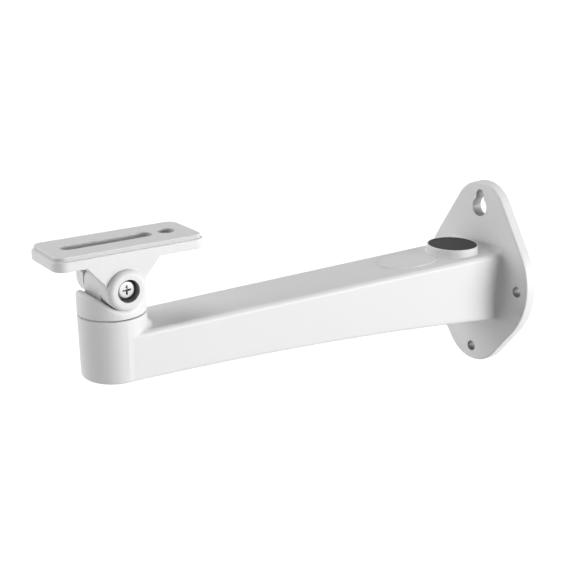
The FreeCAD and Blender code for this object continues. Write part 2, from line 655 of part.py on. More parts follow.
def build_swivel_body():
    """The swivel head, with its origin on the tilt axis."""
    body = new_body("swivel_body", y="-reach", z=TILT_HEIGHT)
    drum = cylinder(body, "drum", "hub_radius", DRUM_LENGTH, z=SEAM_LEVEL)
    seam = number(SEAM_LEVEL)
    round_edges(body, "drum_lower_rim", drum, "seam_edge_round", lies_at("z", seam))
    saddle = cut_saddle(body)
    on_drum, rim_round = lies_round(number("hub_radius")), number("seam_edge_round")

    def saddle_rim(edge):
        above_seam = all(point.z > seam + rim_round + 0.1 for point in points_of(edge))
        return on_drum(edge) and above_seam

    round_edges(body, "saddle_rim", saddle, "swivel_rim_round", saddle_rim)
    profile = new_sketch(body, "tongue_profile", "YZ_Plane")
    r, deep = number("tongue_radius"), number(TONGUE_ROOT)
    crest = arc(profile, (0, 0), r, 0, 180)
    rear = line(profile, (-r, 0), (-r, -deep))
    root = line(profile, (-r, -deep), (r, -deep))
    front = line(profile, (r, -deep), (r, 0))
    kinds = ["Tangent", "Coincident", "Coincident", "Tangent"]
    close_ring(profile, (crest, rear, root, front), kinds)
    level(profile, "Horizontal", root)
    place_point(profile, crest, CENTRE, "0", "0")
    place_point(profile, crest, START, y="0")
    place_point(profile, crest, END, y="0")
    place_point(profile, root, START, y=f"-{TONGUE_ROOT}")
    hold(profile, "Radius", (crest,), "tongue_radius")
    extrude(body, "Pad", "tongue", profile, "2 * tongue_half_width", midplane=True)
    cylinder(body, "bearing_land", "land_radius", "2 * seam_gap - seat_gap", z=LAND_LEVEL)
    cylinder(body, "spigot", "spigot_radius", "spigot_length + seam_gap", z=SPIGOT_END)
    tip = f"({PAN_HEAD_SEAT} + pan_bolt_length + pan_tap_spare - {TILT_HEIGHT})"
    cylinder(body, "tapped_hole", "pan_bolt_radius", f"{tip} - {SPIGOT_END}", z=SPIGOT_END, cut=True)
    cylinder(
        body, "tilt_bore", "tilt_screw_radius + tilt_bore_fit", "2 * tongue_half_width",
        x="-tongue_half_width", along_x=True, cut=True,
    )
    return body


def add_ears(body):
    """Both ears under the camera plate: a round-ended knuckle with slopes out to the plate."""
    profile = new_sketch(body, "ear_profile", "YZ_Plane")
    radius, corner = number("knuckle_radius"), number("web_foot_round")
    end_y, end_z, foot_z = (
        number(name) for name in ("web_half_length", "cradle_floor", "web_foot_rise")
    )
    inside_plate = "cradle_floor + cradle_thickness / 2"
    cover_z = number(inside_plate)
    slope = math.atan2(end_z - foot_z, end_y - radius)
    tangent = corner * math.tan((math.pi / 2 - slope) / 2)
    bend_z, corner_y = foot_z - tangent, radius + corner
    leave_y, leave_z = radius + tangent * math.cos(slope), foot_z + tangent * math.sin(slope)
    lean = math.degrees(slope)
    below = arc(profile, (0, 0), radius, 180, 360)
    rear_side = line(profile, (radius, 0), (radius, bend_z))
    rear_bend = arc(profile, (corner_y, bend_z), corner, 90 + lean, 180)
    rear_slope = line(profile, (leave_y, leave_z), (end_y, end_z))
    rear = line(profile, (end_y, end_z), (end_y, cover_z))
    cover = line(profile, (end_y, cover_z), (-end_y, cover_z))
    front = line(profile, (-end_y, cover_z), (-end_y, end_z))
    front_slope = line(profile, (-end_y, end_z), (-leave_y, leave_z))
    front_bend = arc(profile, (-corner_y, bend_z), corner, 0, 90 - lean)
    front_side = line(profile, (-radius, bend_z), (-radius, 0))
    for kind, first, first_end, second, second_end in (
        ("Tangent", below, END, rear_side, START),
        ("Tangent", rear_side, END, rear_bend, END),
        ("Tangent", rear_bend, START, rear_slope, START),
        ("Coincident", rear_slope, END, rear, START),
        ("Coincident", rear, END, cover, START),
        ("Coincident", cover, END, front, START),
        ("Coincident", front, END, front_slope, START),
        ("Tangent", front_slope, END, front_bend, END),
        ("Tangent", front_bend, START, front_side, START),
        ("Tangent", front_side, END, below, START),
    ):
        profile.addConstraint(Sketcher.Constraint(kind, first, first_end, second, second_end))
    level(profile, "Vertical", rear, front)
    place_point(profile, below, CENTRE, "0", "0")
    place_point(profile, below, START, y="0")
    place_point(profile, below, END, y="0")
    hold(profile, "Radius", (below,), "knuckle_radius")
    hold(profile, "Radius", (rear_bend,), "web_foot_round")
    hold(profile, "Radius", (front_bend,), "web_foot_round")
    place_point(profile, rear, START, "web_half_length", "cradle_floor")
    place_point(profile, front, END, "-web_half_length", "cradle_floor")
    place_point(profile, cover, START, y=inside_plate)
    place_point(profile, cover, END, y=inside_plate)
    for slope_line, side in ((rear_slope, "knuckle_radius"), (front_slope, "-knuckle_radius")):
        foot = profile.addGeometry(Part.Point(Vec(number(side), foot_z, 0)), True)
        place_point(profile, foot, START, side, "web_foot_rise")
        profile.addConstraint(Sketcher.Constraint("PointOnObject", foot, START, slope_line))
    extrude(body, "Pad", "ears", profile, "2 * cradle_half_width", midplane=True)
    gap = new_sketch(body, "ear_gap_outline", "YZ_Plane")
    beyond, under = "(web_half_length + knuckle_radius)", "-2 * knuckle_radius"
    corners = (
        (beyond, under),
        (beyond, "cradle_floor"),
        (f"-{beyond}", "cradle_floor"),
        (f"-{beyond}", under),
    )
    polygon(gap, corners)
    width = "2 * (tongue_half_width + ear_gap)"
    extrude(body, "Pocket", "ear_gap", gap, width, midplane=True)


def build_camera_plate():
    """The cradle that carries the camera, with its origin on the tilt axis."""
    body = new_body("camera_plate", y="-reach", z=TILT_HEIGHT)
    outline = new_sketch(body, "cradle_outline", "XY_Plane", "cradle_floor")
    rounded_rectangle(outline, "cradle_half_width", "-cradle_front", "cradle_rear", "cradle_corner")
    plate = extrude(body, "Pad", "base_plate", outline, "cradle_thickness")
    low, high = lies_at("z", number("cradle_floor")), lies_at("z", number(CRADLE_TOP))
    round_edges(
        body, "base_plate_round", plate, "cradle_edge_round", lambda edge: low(edge) or high(edge)
    )
    add_ears(body)
    boss_length = f"{BOSS_FACE} - {RECESS_FLOOR}"
    boss = cylinder(
        body, "screw_boss", "knuckle_radius", boss_length, x=RECESS_FLOOR, along_x=True
    )
    boss_rim = lies_at("x", number(BOSS_FACE))
    round_edges(body, "screw_boss_edge", boss, "screw_boss_round", boss_rim)
    cylinder(
        body, "screw_recess", "recess_radius", boss_length, x=RECESS_FLOOR, along_x=True, cut=True
    )
    cylinder(
        body, "screw_bore", "tilt_screw_radius + tilt_bore_fit", "2 * cradle_half_width",
        x="-cradle_half_width", along_x=True, cut=True,
    )
    nut_outline = new_sketch(body, "nut_pocket_outline", "YZ_Plane", "-cradle_half_width")
    hexagon(nut_outline, "nut_flats + 2 * nut_pocket_fit", first_corner=30)
    extrude(body, "Pocket", "nut_pocket", nut_outline, "nut_pocket_depth", reverse=True)
    slot = new_sketch(body, "slot_outline", "XY_Plane", CRADLE_TOP)
    long_slot(slot, "slot_half_width", "-slot_front", "slot_rear")
    extrude(body, "Pocket", "camera_slot", slot, "cradle_thickness")
    hole = new_sketch(body, "hole_outline", "XY_Plane", CRADLE_TOP)
    circle(hole, "0", "camera_hole_rear", "slot_half_width")
    extrude(body, "Pocket", "camera_hole", hole, "cradle_thickness")
    return body


def build_camera_pad():
    """The pad on the camera plate, with its origin on the tilt axis."""
    body = new_body("camera_pad", y="-reach", z=TILT_HEIGHT)
    outline = new_sketch(body, "pad_outline", "XY_Plane", CRADLE_TOP)
    rounded_rectangle(
        outline, "cradle_half_width - pad_inset", "pad_inset - cradle_front",
        "cradle_rear - pad_inset", "cradle_corner - pad_inset",
    )
    layer = extrude(body, "Pad", "pad_layer", outline, "pad_thickness")
    pad_top = f"{CRADLE_TOP} + pad_thickness"
    round_edges(body, "pad_round", layer, "pad_edge_round", lies_at("z", number(pad_top)))
    opening = "slot_half_width + pad_opening_fit"
    slot = new_sketch(body, "pad_slot_outline", "XY_Plane", pad_top)
    long_slot(slot, opening, "-slot_front", "slot_rear")
    extrude(body, "Pocket", "pad_slot", slot, "pad_thickness")
    hole = new_sketch(body, "pad_hole_outline", "XY_Plane", pad_top)
    circle(hole, "0", "camera_hole_rear", opening)
    extrude(body, "Pocket", "pad_hole", hole, "pad_thickness")
    return body


def build_washer(name, place, outer, screw, thickness, split=False):
    """A washer on its local Z, standing on the place given, and split if it is a spring."""
    body = new_body(name, **place)
    cylinder(body, "disc", outer, thickness)
    cylinder(body, "bore", f"{screw} + washer_bore_fit", thickness, cut=True)
    if split:
        cut = new_sketch(body, "split_outline", "XY_Plane", thickness)
        half, far = "washer_split / 2", f"2 * {outer}"
        polygon(cut, (("0", f"-{half}"), (far, f"-{half}"), (far, half), ("0", half)))
        extrude(body, "Pocket", "split", cut, thickness)
    return body


def build_pan_fasteners():
    """Socket bolt and washers in the pocket under the hub."""
    bolt = new_body("pan_bolt", y="-reach", z=PAN_HEAD_SEAT)
    head_low = "-pan_bolt_head_height"
    head = cylinder(bolt, "head", "pan_bolt_head_radius", "pan_bolt_head_height", z=head_low)
    round_edges(bolt, "head_edge", head, "pan_bolt_edge", lies_at("z", number(head_low)))
    cylinder(bolt, "shank", "pan_bolt_radius", "pan_bolt_length")
    socket = new_sketch(bolt, "socket_outline", "XY_Plane", head_low)
    hexagon(socket, "pan_bolt_socket")
    extrude(bolt, "Pocket", "socket", socket, "pan_bolt_socket_depth", reverse=True)
    spring = build_washer(
        "pan_spring_washer", {"y": "-reach", "z": PAN_HEAD_SEAT}, "pan_spring_radius",
        "pan_bolt_radius", "pan_spring_thickness", split=True,
    )
    flat = build_washer(
        "pan_flat_washer", {"y": "-reach", "z": PAN_WASHER_SEAT}, "pan_washer_radius",
        "pan_bolt_radius", "pan_washer_thickness",
    )
    return [bolt, spring, flat]


def build_tilt_fasteners():
    """Cross-recess screw, washers and nut on the tilt axis. Their local Z runs along +X."""
    def on_axis(x):
        return {"x": x, "y": "-reach", "z": TILT_HEIGHT, "rotation": X_TURN}

    screw = new_body("tilt_screw", **on_axis(SCREW_HEAD_SEAT))
    head = cylinder(screw, "head", "screw_head_radius", "screw_head_height")
    face = lies_at("z", number("screw_head_height"))
    round_edges(screw, "head_dome", head, "screw_dome_round", face)
    cylinder(screw, "shank", "tilt_screw_radius", "tilt_screw_length", z="-tilt_screw_length")
    cross = new_sketch(screw, "cross_outline", "XY_Plane", "screw_head_height")
    span, half = "cross_half_span", "cross_half_width"
    corners = []
    for turn in range(4):
        for x, y in ((span, half), (half, half), (half, span)):
            corners.append(((x, y), (f"-{y}", x), (f"-{x}", f"-{y}"), (y, f"-{x}"))[turn])
    polygon(cross, corners)
    extrude(screw, "Pocket", "cross_recess", cross, "cross_depth")
    spring = build_washer(
        "tilt_spring_washer", on_axis(TILT_SPRING_SEAT), "tilt_spring_radius",
        "tilt_screw_radius", "tilt_spring_thickness", split=True,
    )
    flat = build_washer(
        "tilt_flat_washer", on_axis(RECESS_FLOOR), "tilt_washer_radius",
        "tilt_screw_radius", "tilt_washer_thickness",
    )
    nut = new_body("tilt_nut", **on_axis(f"-{NUT_SEAT} - nut_height"))
    outline = new_sketch(nut, "nut_outline", "XY_Plane")
    hexagon(outline, "nut_flats")
    extrude(nut, "Pad", "nut", outline, "nut_height")
    cylinder(nut, "thread", "tilt_screw_radius", "nut_height", cut=True)
    return [screw, spring, flat, nut]


def main():
    os.makedirs("parts", exist_ok=True)
    bodies = [
        build_wall_arm(),
        build_cable_plug(),
        build_swivel_body(),
        build_camera_plate(),
        build_camera_pad(),
        *build_pan_fasteners(),
        *build_tilt_fasteners(),
    ]
    doc.recompute()
    for item in doc.Objects:
        if "Invalid" in item.State or "Error" in item.State:
            raise RuntimeError(f"{item.Label} did not build: {item.State}")
    for body in bodies:
        if body.Shape.isNull() or not body.Shape.isValid():
            raise RuntimeError(f"{body.Label} has no valid shape")
        body.Shape.exportStep(f"parts/{body.Label}.step")
        print(f"{body.Label}: {body.Shape.Volume:.0f} mm3, {len(body.Shape.Faces)} faces")


main()
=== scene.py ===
"""Looks of a cast wall bracket for a box camera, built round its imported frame.

The castings keep their own solids and get a powder-coat finish. The screws, washers, nut and
cable plug are modelled here in finer detail and stand for their plain solids. Sizes are in metres,
in the frame's own axes: +Y into the wall, the arm runs out along -Y, and +X is the side with the
head of the tilt screw.
"""

import json
import logging
import math
from collections.abc import Callable, Sequence
from dataclasses import dataclass, field, replace
from enum import Enum

import bmesh
import bpy
from mathutils import Matrix, Vector

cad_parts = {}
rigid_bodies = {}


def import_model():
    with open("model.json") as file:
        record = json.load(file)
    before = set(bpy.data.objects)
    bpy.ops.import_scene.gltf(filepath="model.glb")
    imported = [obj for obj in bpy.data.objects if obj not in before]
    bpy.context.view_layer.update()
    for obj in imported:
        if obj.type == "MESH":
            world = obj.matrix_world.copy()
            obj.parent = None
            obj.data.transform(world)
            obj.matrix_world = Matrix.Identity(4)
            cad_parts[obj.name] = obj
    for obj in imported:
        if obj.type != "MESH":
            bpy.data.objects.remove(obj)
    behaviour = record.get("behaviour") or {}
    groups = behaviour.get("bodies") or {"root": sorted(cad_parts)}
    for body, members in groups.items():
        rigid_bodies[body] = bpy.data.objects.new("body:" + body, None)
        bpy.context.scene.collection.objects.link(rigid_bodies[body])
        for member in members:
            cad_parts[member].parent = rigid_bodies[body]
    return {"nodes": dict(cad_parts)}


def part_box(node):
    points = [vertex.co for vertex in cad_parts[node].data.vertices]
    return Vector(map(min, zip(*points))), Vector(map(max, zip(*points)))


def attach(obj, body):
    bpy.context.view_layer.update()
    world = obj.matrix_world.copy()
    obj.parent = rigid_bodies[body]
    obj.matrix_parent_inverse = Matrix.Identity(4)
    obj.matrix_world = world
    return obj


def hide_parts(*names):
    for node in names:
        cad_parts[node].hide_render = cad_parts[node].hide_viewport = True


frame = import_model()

LOG = logging.getLogger("bracket")
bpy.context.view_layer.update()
MM = 0.001
WELD = 0.000002
FULL_TURN = 2 * math.pi
SMOOTH_BELOW = math.radians(32)
SQUARE_ON = 0.9

Object = bpy.types.Object
Material = bpy.types.Material
Node = bpy.types.Node
Socket = bpy.types.NodeSocket
Profile = Sequence[tuple[float, float]]


class Heading(Enum):
    """The way that a turned piece's own axis points in the frame."""

    UP = "up"
    NEAR_SIDE = "near side"

    def turn(self) -> Matrix:
        """The rotation that takes the piece's local Z to this heading."""
        angle = 0.0 if self is Heading.UP else math.pi / 2
        return Matrix.Rotation(angle, 4, "Y")


class Slot(Enum):
    """The record's material slots that the modelled pieces have."""

    PLUG = "plug_rubber"
    STEEL = "fastener_steel"


class Body(Enum):
    """The frame's moving bodies."""

    BRACKET = "bracket"
    SWIVEL = "swivel"
    CRADLE = "cradle"


class Axis(Enum):
    """The frame's axes."""

    X = 0
    Y = 1
    Z = 2

    def across(self) -> tuple[float, float, float]:
        """A vector of 1 on the two other axes and 0 on this one."""
        return tuple(0.0 if place == self.value else 1.0 for place in range(3))


class Bench:
    """Modelling steps over Blender's own operators, each on one piece at a time."""

    @staticmethod
    def take(piece: Object) -> None:
        """Makes one object the only selected one, and active.

        Args:
            piece: The object.
        """
        for item in bpy.context.view_layer.objects:
            item.select_set(False)
        piece.select_set(True)
        bpy.context.view_layer.objects.active = piece

    @staticmethod
    def start(name: str) -> Object:
        """Names the primitive that an operator has just added.

        Args:
            name: The piece's name.

        Returns:
            The new object, alone in the selection.
        """
        piece = bpy.context.view_layer.objects.active
        piece.name = name
        Bench.take(piece)
        return piece

    @staticmethod
    def edit() -> None:
        """Enters edit mode on the active piece and deselects all of it."""
        bpy.ops.object.mode_set(mode="EDIT")
        bpy.ops.mesh.select_all(action="DESELECT")

    @staticmethod
    def leave() -> None:
        """Goes back to object mode."""
        bpy.ops.object.mode_set(mode="OBJECT")

    @staticmethod
    def pick_faces(piece: Object, wanted: Callable[[bmesh.types.BMFace], bool]) -> None:
        """Selects the faces that a test accepts, and no others, in edit mode.

        Args:
            piece: The piece in edit mode.
            wanted: The test of one face.
        """
        bpy.ops.mesh.select_all(action="DESELECT")
        bpy.ops.mesh.select_mode(type="FACE")
        mesh = bmesh.from_edit_mesh(piece.data)
        for face in mesh.faces:
            face.select_set(bool(wanted(face)))
        bmesh.update_edit_mesh(piece.data)

    @staticmethod
    def pick_points(piece: Object, wanted: Callable[[Vector], bool]) -> None:
        """Selects the vertices whose place a test accepts, and no others, in edit mode.

        Args:
            piece: The piece in edit mode.
            wanted: The test of one vertex's place.
        """
        bpy.ops.mesh.select_all(action="DESELECT")
        bpy.ops.mesh.select_mode(type="VERT")
        mesh = bmesh.from_edit_mesh(piece.data)
        for point in mesh.verts:
            point.select_set(bool(wanted(point.co)))
        mesh.select_flush_mode()
        bmesh.update_edit_mesh(piece.data)

    @staticmethod
    def turned(name: str, profile: Profile, steps: int) -> Object:
        """Turns a profile about local Z, as on a lathe.

        Args:
            name: The piece's name.
            profile: Radius and height of each corner, in order along the profile.
            steps: The number of steps in the full turn.

        Returns:
            The turned piece, standing at the origin.
        """
        bpy.ops.mesh.primitive_plane_add(size=MM)
        piece = Bench.start(name)
        bpy.ops.object.mode_set(mode="EDIT")
        bpy.ops.mesh.select_all(action="SELECT")
        bpy.ops.mesh.merge(type="CENTER")
        here = profile[0]
        bpy.ops.transform.translate(value=(here[0], 0.0, here[1]))
        for corner in profile[1:]:
            step = (corner[0] - here[0], 0.0, corner[1] - here[1])
            bpy.ops.mesh.extrude_vertices_move(TRANSFORM_OT_translate={"value": step})
            here = corner
        bpy.ops.mesh.select_all(action="SELECT")
        bpy.ops.mesh.spin(
            steps=steps, angle=FULL_TURN, center=(0.0, 0.0, 0.0), axis=(0.0, 0.0, 1.0)
        )
        bpy.ops.mesh.select_all(action="SELECT")
        bpy.ops.mesh.remove_doubles(threshold=WELD)
        bpy.ops.mesh.normals_make_consistent(inside=False)
        Bench.leave()
        return piece

    @staticmethod
    def prism(name: str, across_flats: float, bottom: float, top: float) -> Object:
        """A hexagonal prism on local Z with flats towards +Y and -Y.

        Args:
            name: The piece's name.
            across_flats: The distance between opposite sides.
            bottom: The height of its lower face.
            top: The height of its upper face.

        Returns:
            The prism.
        """
        corner_radius = across_flats / math.sqrt(3)
        bpy.ops.mesh.primitive_cylinder_add(
            vertices=6,
            radius=corner_radius,
            depth=top - bottom,
            location=(0.0, 0.0, (top + bottom) / 2),
            rotation=(0.0, 0.0, math.radians(30)),
        )
        piece = Bench.start(name)
        bpy.ops.object.transform_apply(location=True, rotation=True, scale=True)
        return piece

    @staticmethod
    def combine(piece: Object, tool: Object, operation: str) -> None:
        """Cuts, joins or intersects a piece with a tool, which is used up.

        Args:
            piece: The piece that stays.
            tool: The piece that is used up.
            operation: DIFFERENCE, UNION or INTERSECT.
        """
        Bench.take(piece)
        change = piece.modifiers.new("combine", "BOOLEAN")
        change.operation = operation
        change.solver = "EXACT"
        change.object = tool
        bpy.ops.object.modifier_apply(modifier=change.name)
        bpy.data.objects.remove(tool)

    @staticmethod
    def soften(piece: Object, width: float, segments: int = 2, sharper_than: float = 40) -> None:
        """Rounds the sharp edges of a piece with an applied bevel.

        Args:
            piece: The piece.
            width: How far each round reaches along its faces.
            segments: The steps across each round.
            sharper_than: The least angle in degrees of an edge that is rounded.
        """
        Bench.take(piece)
        change = piece.modifiers.new("soften", "BEVEL")
        change.width = width
        change.segments = segments
        change.limit_method = "ANGLE"
        change.angle_limit = math.radians(sharper_than)
        bpy.ops.object.modifier_apply(modifier=change.name)

    @staticmethod
    def seat(piece: Object, place: Vector, heading: Heading = Heading.UP) -> None:
        """Turns and moves a piece to its place, kept in its mesh, and smooths its shading.

        Args:
            piece: The piece, built round the origin on local Z.
            place: Where its origin goes in the frame.
            heading: Where its local Z points.
        """
        Bench.take(piece)
        piece.matrix_world = Matrix.Translation(place) @ heading.turn()
        bpy.ops.object.transform_apply(location=True, rotation=True, scale=True)
        bpy.ops.object.shade_smooth_by_angle(angle=SMOOTH_BELOW)


def quarter_round(radius: float, top: float, edge: float, step: int) -> Profile:
    """The corners of a turned piece's rounded rim, from its flat top to its side.

    Args:
        radius: The radius of the side.
        top: The height of the flat top.
        edge: The radius of the round.
        step: The degrees between corners.

    Returns:
        Radius and height of each corner.
    """
    turns = [math.radians(turn) for turn in range(0, 91, step)]
    return [
        (radius - edge + edge * math.sin(turn), top - edge + edge * math.cos(turn))
        for turn in turns
    ]


def middle_of(node: str) -> Vector:
    """The middle of a frame node's box."""
    low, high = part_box(node)
    return (low + high) / 2


class NodeBoard:
    """Adds and links the nodes of one tree."""

    def __init__(self, tree: bpy.types.NodeTree) -> None:
        """Keeps the tree."""
        self.tree = tree

    def add(self, kind: str, **settings: object) -> Node:
        """Adds a node.

        Args:
            kind: The node's type.
            **settings: Its properties.

        Returns:
            The node.
        """
        node = self.tree.nodes.new(kind)
        for name, value in settings.items():
            setattr(node, name, value)
        return node

    def join(self, source: Socket, target: Socket) -> None:
        """Links two sockets."""
        self.tree.links.new(source, target)

    def operate(self, kind: str, operation: str, operands: Sequence[object]) -> Node:
        """Adds a math node.

        Args:
            kind: The node's type.
            operation: Its operation.
            operands: For each input in order, a socket to link or a constant.

        Returns:
            The node.
        """
        node = self.add(kind, operation=operation)
        for socket, operand in zip(node.inputs, operands):
            if isinstance(operand, Socket):
                self.join(operand, socket)
            else:
                socket.default_value = operand
        return node

    def value(self, operation: str, *operands: object) -> Socket:
        """Works out a single value from others."""
        return self.operate("ShaderNodeMath", operation, operands).outputs["Value"]

    def vector(self, operation: str, *operands: object) -> Socket:
        """Works out a vector from others, or the length or distance of them."""
        node = self.operate("ShaderNodeVectorMath", operation, operands)
        return node.outputs["Value" if operation in ("LENGTH", "DISTANCE") else "Vector"]


class Texture(NodeBoard):
    """A procedural material while its nodes are being built."""

    def __init__(self, name: str) -> None:
        """Starts a material with its plain main shader.

        Args:
            name: The material's name.
        """
        self.material = bpy.data.materials.new(name)
        self.material.use_nodes = True
        super().__init__(self.material.node_tree)

    @property
    def shader(self) -> Node:
        """The material's main shader."""
        return next(n for n in self.tree.nodes if n.type == "BSDF_PRINCIPLED")

    def group(self, tree: bpy.types.NodeTree, **values: object) -> Node:
        """Places a shared group with its own values.

        Args:
            tree: The group.
            **values: Its inputs by name, with _ for a space.

        Returns:
            The group node.
        """
        node = self.add("ShaderNodeGroup", node_tree=tree)
        for name, value in values.items():
            node.inputs[name.replace("_", " ")].default_value = value
        return node

    def shade(
        self,
        colour: Sequence[float],
        value: Socket,
        painted_shade: tuple[Sequence[float], Socket] | None = None,
    ) -> None:
        """Paints the surface in one colour, lighter and darker with a value round 1.

        Args:
            colour: The surface's own colour, linear.
            value: The changing value that multiplies it.
            painted_shade: A darker colour painted as shade, and the mask that says where it shows.
        """
        scaled = self.add("ShaderNodeVectorMath", operation="SCALE")
        scaled.inputs[0].default_value = colour
        self.join(value, scaled.inputs["Scale"])
        if painted_shade is not None:
            # the darker colour painted as shade, and where it goes
            under, mask = painted_shade
            cover = self.add("ShaderNodeMix", data_type="RGBA")
            cover.inputs["A"].default_value = (*colour, 1.0)
            cover.inputs["B"].default_value = (*under, 1.0)
            self.join(mask, cover.inputs["Factor"])
            self.join(cover.outputs["Result"], scaled.inputs[0])
        self.join(scaled.outputs[0], self.shader.inputs["Base Color"])

    def bump(self, height: Socket, depth: float) -> None:
        """Raises the surface by a height map.

        Args:
            height: The map, from 0 to 1.
            depth: The relief that a height of 1 gives, in metres.
        """
        relief = self.add("ShaderNodeBump")
        relief.inputs["Strength"].default_value = 1.0
        relief.inputs["Distance"].default_value = depth
        self.join(height, relief.inputs["Height"])
        self.join(relief.outputs["Normal"], self.shader.inputs["Normal"])


class EffectGroup(NodeBoard):
    """A shader node group with named inputs and outputs, filled in by its subclasses."""

    def __init__(self, name: str, inputs: dict[str, float], outputs: Sequence[str]) -> None:
        """Makes the group and its sockets.

        Args:
            name: The group's name.
            inputs: Each input with its usual value.
            outputs: The outputs, all plain values.
        """
        super().__init__(bpy.data.node_groups.new(name, "ShaderNodeTree"))
        for label, value in inputs.items():
            socket = self.tree.interface.new_socket(
                name=label, in_out="INPUT", socket_type="NodeSocketFloat"
            )
            socket.default_value = value
        for label in outputs:
            self.tree.interface.new_socket(
                name=label, in_out="OUTPUT", socket_type="NodeSocketFloat"
            )
        self.given = self.add("NodeGroupInput")
        self.result = self.add("NodeGroupOutput")
        self.place = self.add("ShaderNodeTexCoord").outputs["Object"]

    def taken(self, name: str) -> Socket:
        """The value that an input of the group brings in."""
        return self.given.outputs[name]

    def give(self, name: str, value: Socket) -> None:
        """Puts a value out of the group."""
        self.join(value, self.result.inputs[name])

    def noise(self, scale: str, detail: float, roughness: float = 0.5) -> Socket:
        """A noise over the surface at the scale that one of the inputs gives.

        Args:
            scale: The input that holds the scale, in waves a metre.
            detail: The number of finer layers.
            roughness: The strength of the finer layers.

        Returns:
            The noise, from 0 to 1.
        """
        node = self.add("ShaderNodeTexNoise")
        node.inputs["Detail"].default_value = detail
        node.inputs["Roughness"].default_value = roughness
        self.join(self.place, node.inputs["Vector"])
        self.join(self.taken(scale), node.inputs["Scale"])
        return node.outputs["Fac"]

    def swing(self, wave: Socket, reach: str, middle: float) -> Socket:
        """Spreads a wave from 0 to 1 evenly round a middle value.

        Args:
            wave: The wave.
            reach: The input that holds the whole spread.
            middle: The value in the middle.

        Returns:
            The spread value.
        """
        centred = self.value("SUBTRACT", wave, 0.5)
        return self.value("MULTIPLY_ADD", centred, self.taken(reach), middle)

    def blend(self, share: str, first: Socket, second: Socket) -> Socket:
        """Mixes two values by the share that an input gives.

        Args:
            share: The input that holds the share of the second value.
            first: The first value.
            second: The second value.

        Returns:
            The mix.
        """
        mix = self.add("ShaderNodeMix", data_type="FLOAT")
        self.join(self.taken(share), mix.inputs["Factor"])
        self.join(first, mix.inputs["A"])
        self.join(second, mix.inputs["B"])
        return mix.outputs["Result"]


class SkinGroup(EffectGroup):
    """The fine skin of paint, rubber or foam: soft clouds, small waves and a fine grain."""

    def __init__(self) -> None:
        """Builds the group."""
        inputs = {
            "Cloud Scale": 18.0,
            "Wave Scale": 700.0,
            "Grain Scale": 3500.0,
            "Grain Share": 0.3,
            "Shade Spread": 0.03,
            "Gloss Middle": 0.5,
            "Gloss Spread": 0.1,
        }
        super().__init__("fine skin", inputs, ("Shade", "Roughness", "Height"))
        # the painted crease shade group, kept here for the finishes that use it
        self.creases = CreaseShadeGroup()
        cloud = self.noise("Cloud Scale", detail=3.0)
        wave = self.noise("Wave Scale", detail=2.0)
        grain = self.noise("Grain Scale", detail=4.0, roughness=0.7)
        relief = self.blend("Grain Share", wave, grain)
        tint = self.blend("Grain Share", cloud, grain)
        gloss = self.swing(tint, "Gloss Spread", 0.0)
        self.give("Shade", self.swing(tint, "Shade Spread", 1.0))
        self.give("Roughness", self.value("ADD", self.taken("Gloss Middle"), gloss))
        self.give("Height", relief)


class LatheGroup(EffectGroup):
    """Fine rings round a piece's own axis, as a lathe or a mould leaves them."""

    def __init__(self, heading: Heading) -> None:
        """Builds the group for pieces with one heading.

        Args:
            heading: The axis that the rings go round.
        """
        inputs = {"Centre Y": 0.0, "Centre Z": 0.0, "Ring Scale": 2200.0, "Shade Spread": 0.1}
        super().__init__(f"lathe rings {heading.value}", inputs, ("Shade", "Height"))
        centre = self.add("ShaderNodeCombineXYZ")
        self.join(self.taken("Centre Y"), centre.inputs["Y"])
        self.join(self.taken("Centre Z"), centre.inputs["Z"])
        axis = Axis.X if heading is Heading.NEAR_SIDE else Axis.Z
        offset = self.vector("SUBTRACT", self.place, centre.outputs[0])
        radius = self.vector("LENGTH", self.vector("MULTIPLY", offset, axis.across()))
        rings = self.add("ShaderNodeTexNoise", noise_dimensions="1D")
        rings.inputs["Detail"].default_value = 3.0
        self.join(radius, rings.inputs["W"])
        self.join(self.taken("Ring Scale"), rings.inputs["Scale"])
        wave = rings.outputs["Fac"]
        self.give("Shade", self.swing(wave, "Shade Spread", 1.0))
        self.give("Height", wave)


class CreaseShadeGroup(EffectGroup):
    """Paints shade into creases and hollows: darkens the colour where ambient occlusion finds
    nearby faces of the same piece.
    """

    def __init__(self) -> None:
        """Builds the group."""
        super().__init__("painted crease shade", {"Reach": 14 * MM, "Share": 0.3}, ("Shade",))
        # painted shade: the piece's own ambient occlusion darkens its colour within the reach
        around = self.add("ShaderNodeAmbientOcclusion", samples=12, only_local=True)
        self.join(self.taken("Reach"), around.inputs["Distance"])
        hidden = self.value("SUBTRACT", around.outputs["AO"], 1.0)
        self.give("Shade", self.value("MULTIPLY_ADD", hidden, self.taken("Share"), 1.0))


@dataclass(frozen=True)
class Bore:
    """A round or long hole that goes straight through a casting along one axis."""

    through: Axis
    centre: tuple[float, float, float]
    radius: float
    run: tuple[float, float, float] = (0.0, 0.0, 0.0)


class PaintedShadeMaskGroup(EffectGroup):
    """Marks hole walls and other places whose colour is painted darker as shade."""

    def __init__(self, name: str, bores: Sequence[Bore]) -> None:
        """Builds the group.

        Args:
            name: The group's name.
            bores: The holes of one casting.
        """
        super().__init__(name, {"Wall Margin": 0.00006}, ("Mask",))
        total = self.inside(bores[0])
        for bore in bores[1:]:
            total = self.value("MAXIMUM", total, self.inside(bore))
        self.give("Mask", total)

    def inside(self, bore: Bore) -> Socket:
        """A value of 1 inside one hole and 0 elsewhere.

        Args:
            bore: The hole.

        Returns:
            The value.
        """
        offset = self.vector("ABSOLUTE", self.vector("SUBTRACT", self.place, bore.centre))
        beyond = self.vector("MAXIMUM", self.vector("SUBTRACT", offset, bore.run), (0.0, 0.0, 0.0))
        away = self.vector("LENGTH", self.vector("MULTIPLY", beyond, bore.through.across()))
        limit = self.value("ADD", self.taken("Wall Margin"), bore.radius)
        return self.value("LESS_THAN", away, limit)


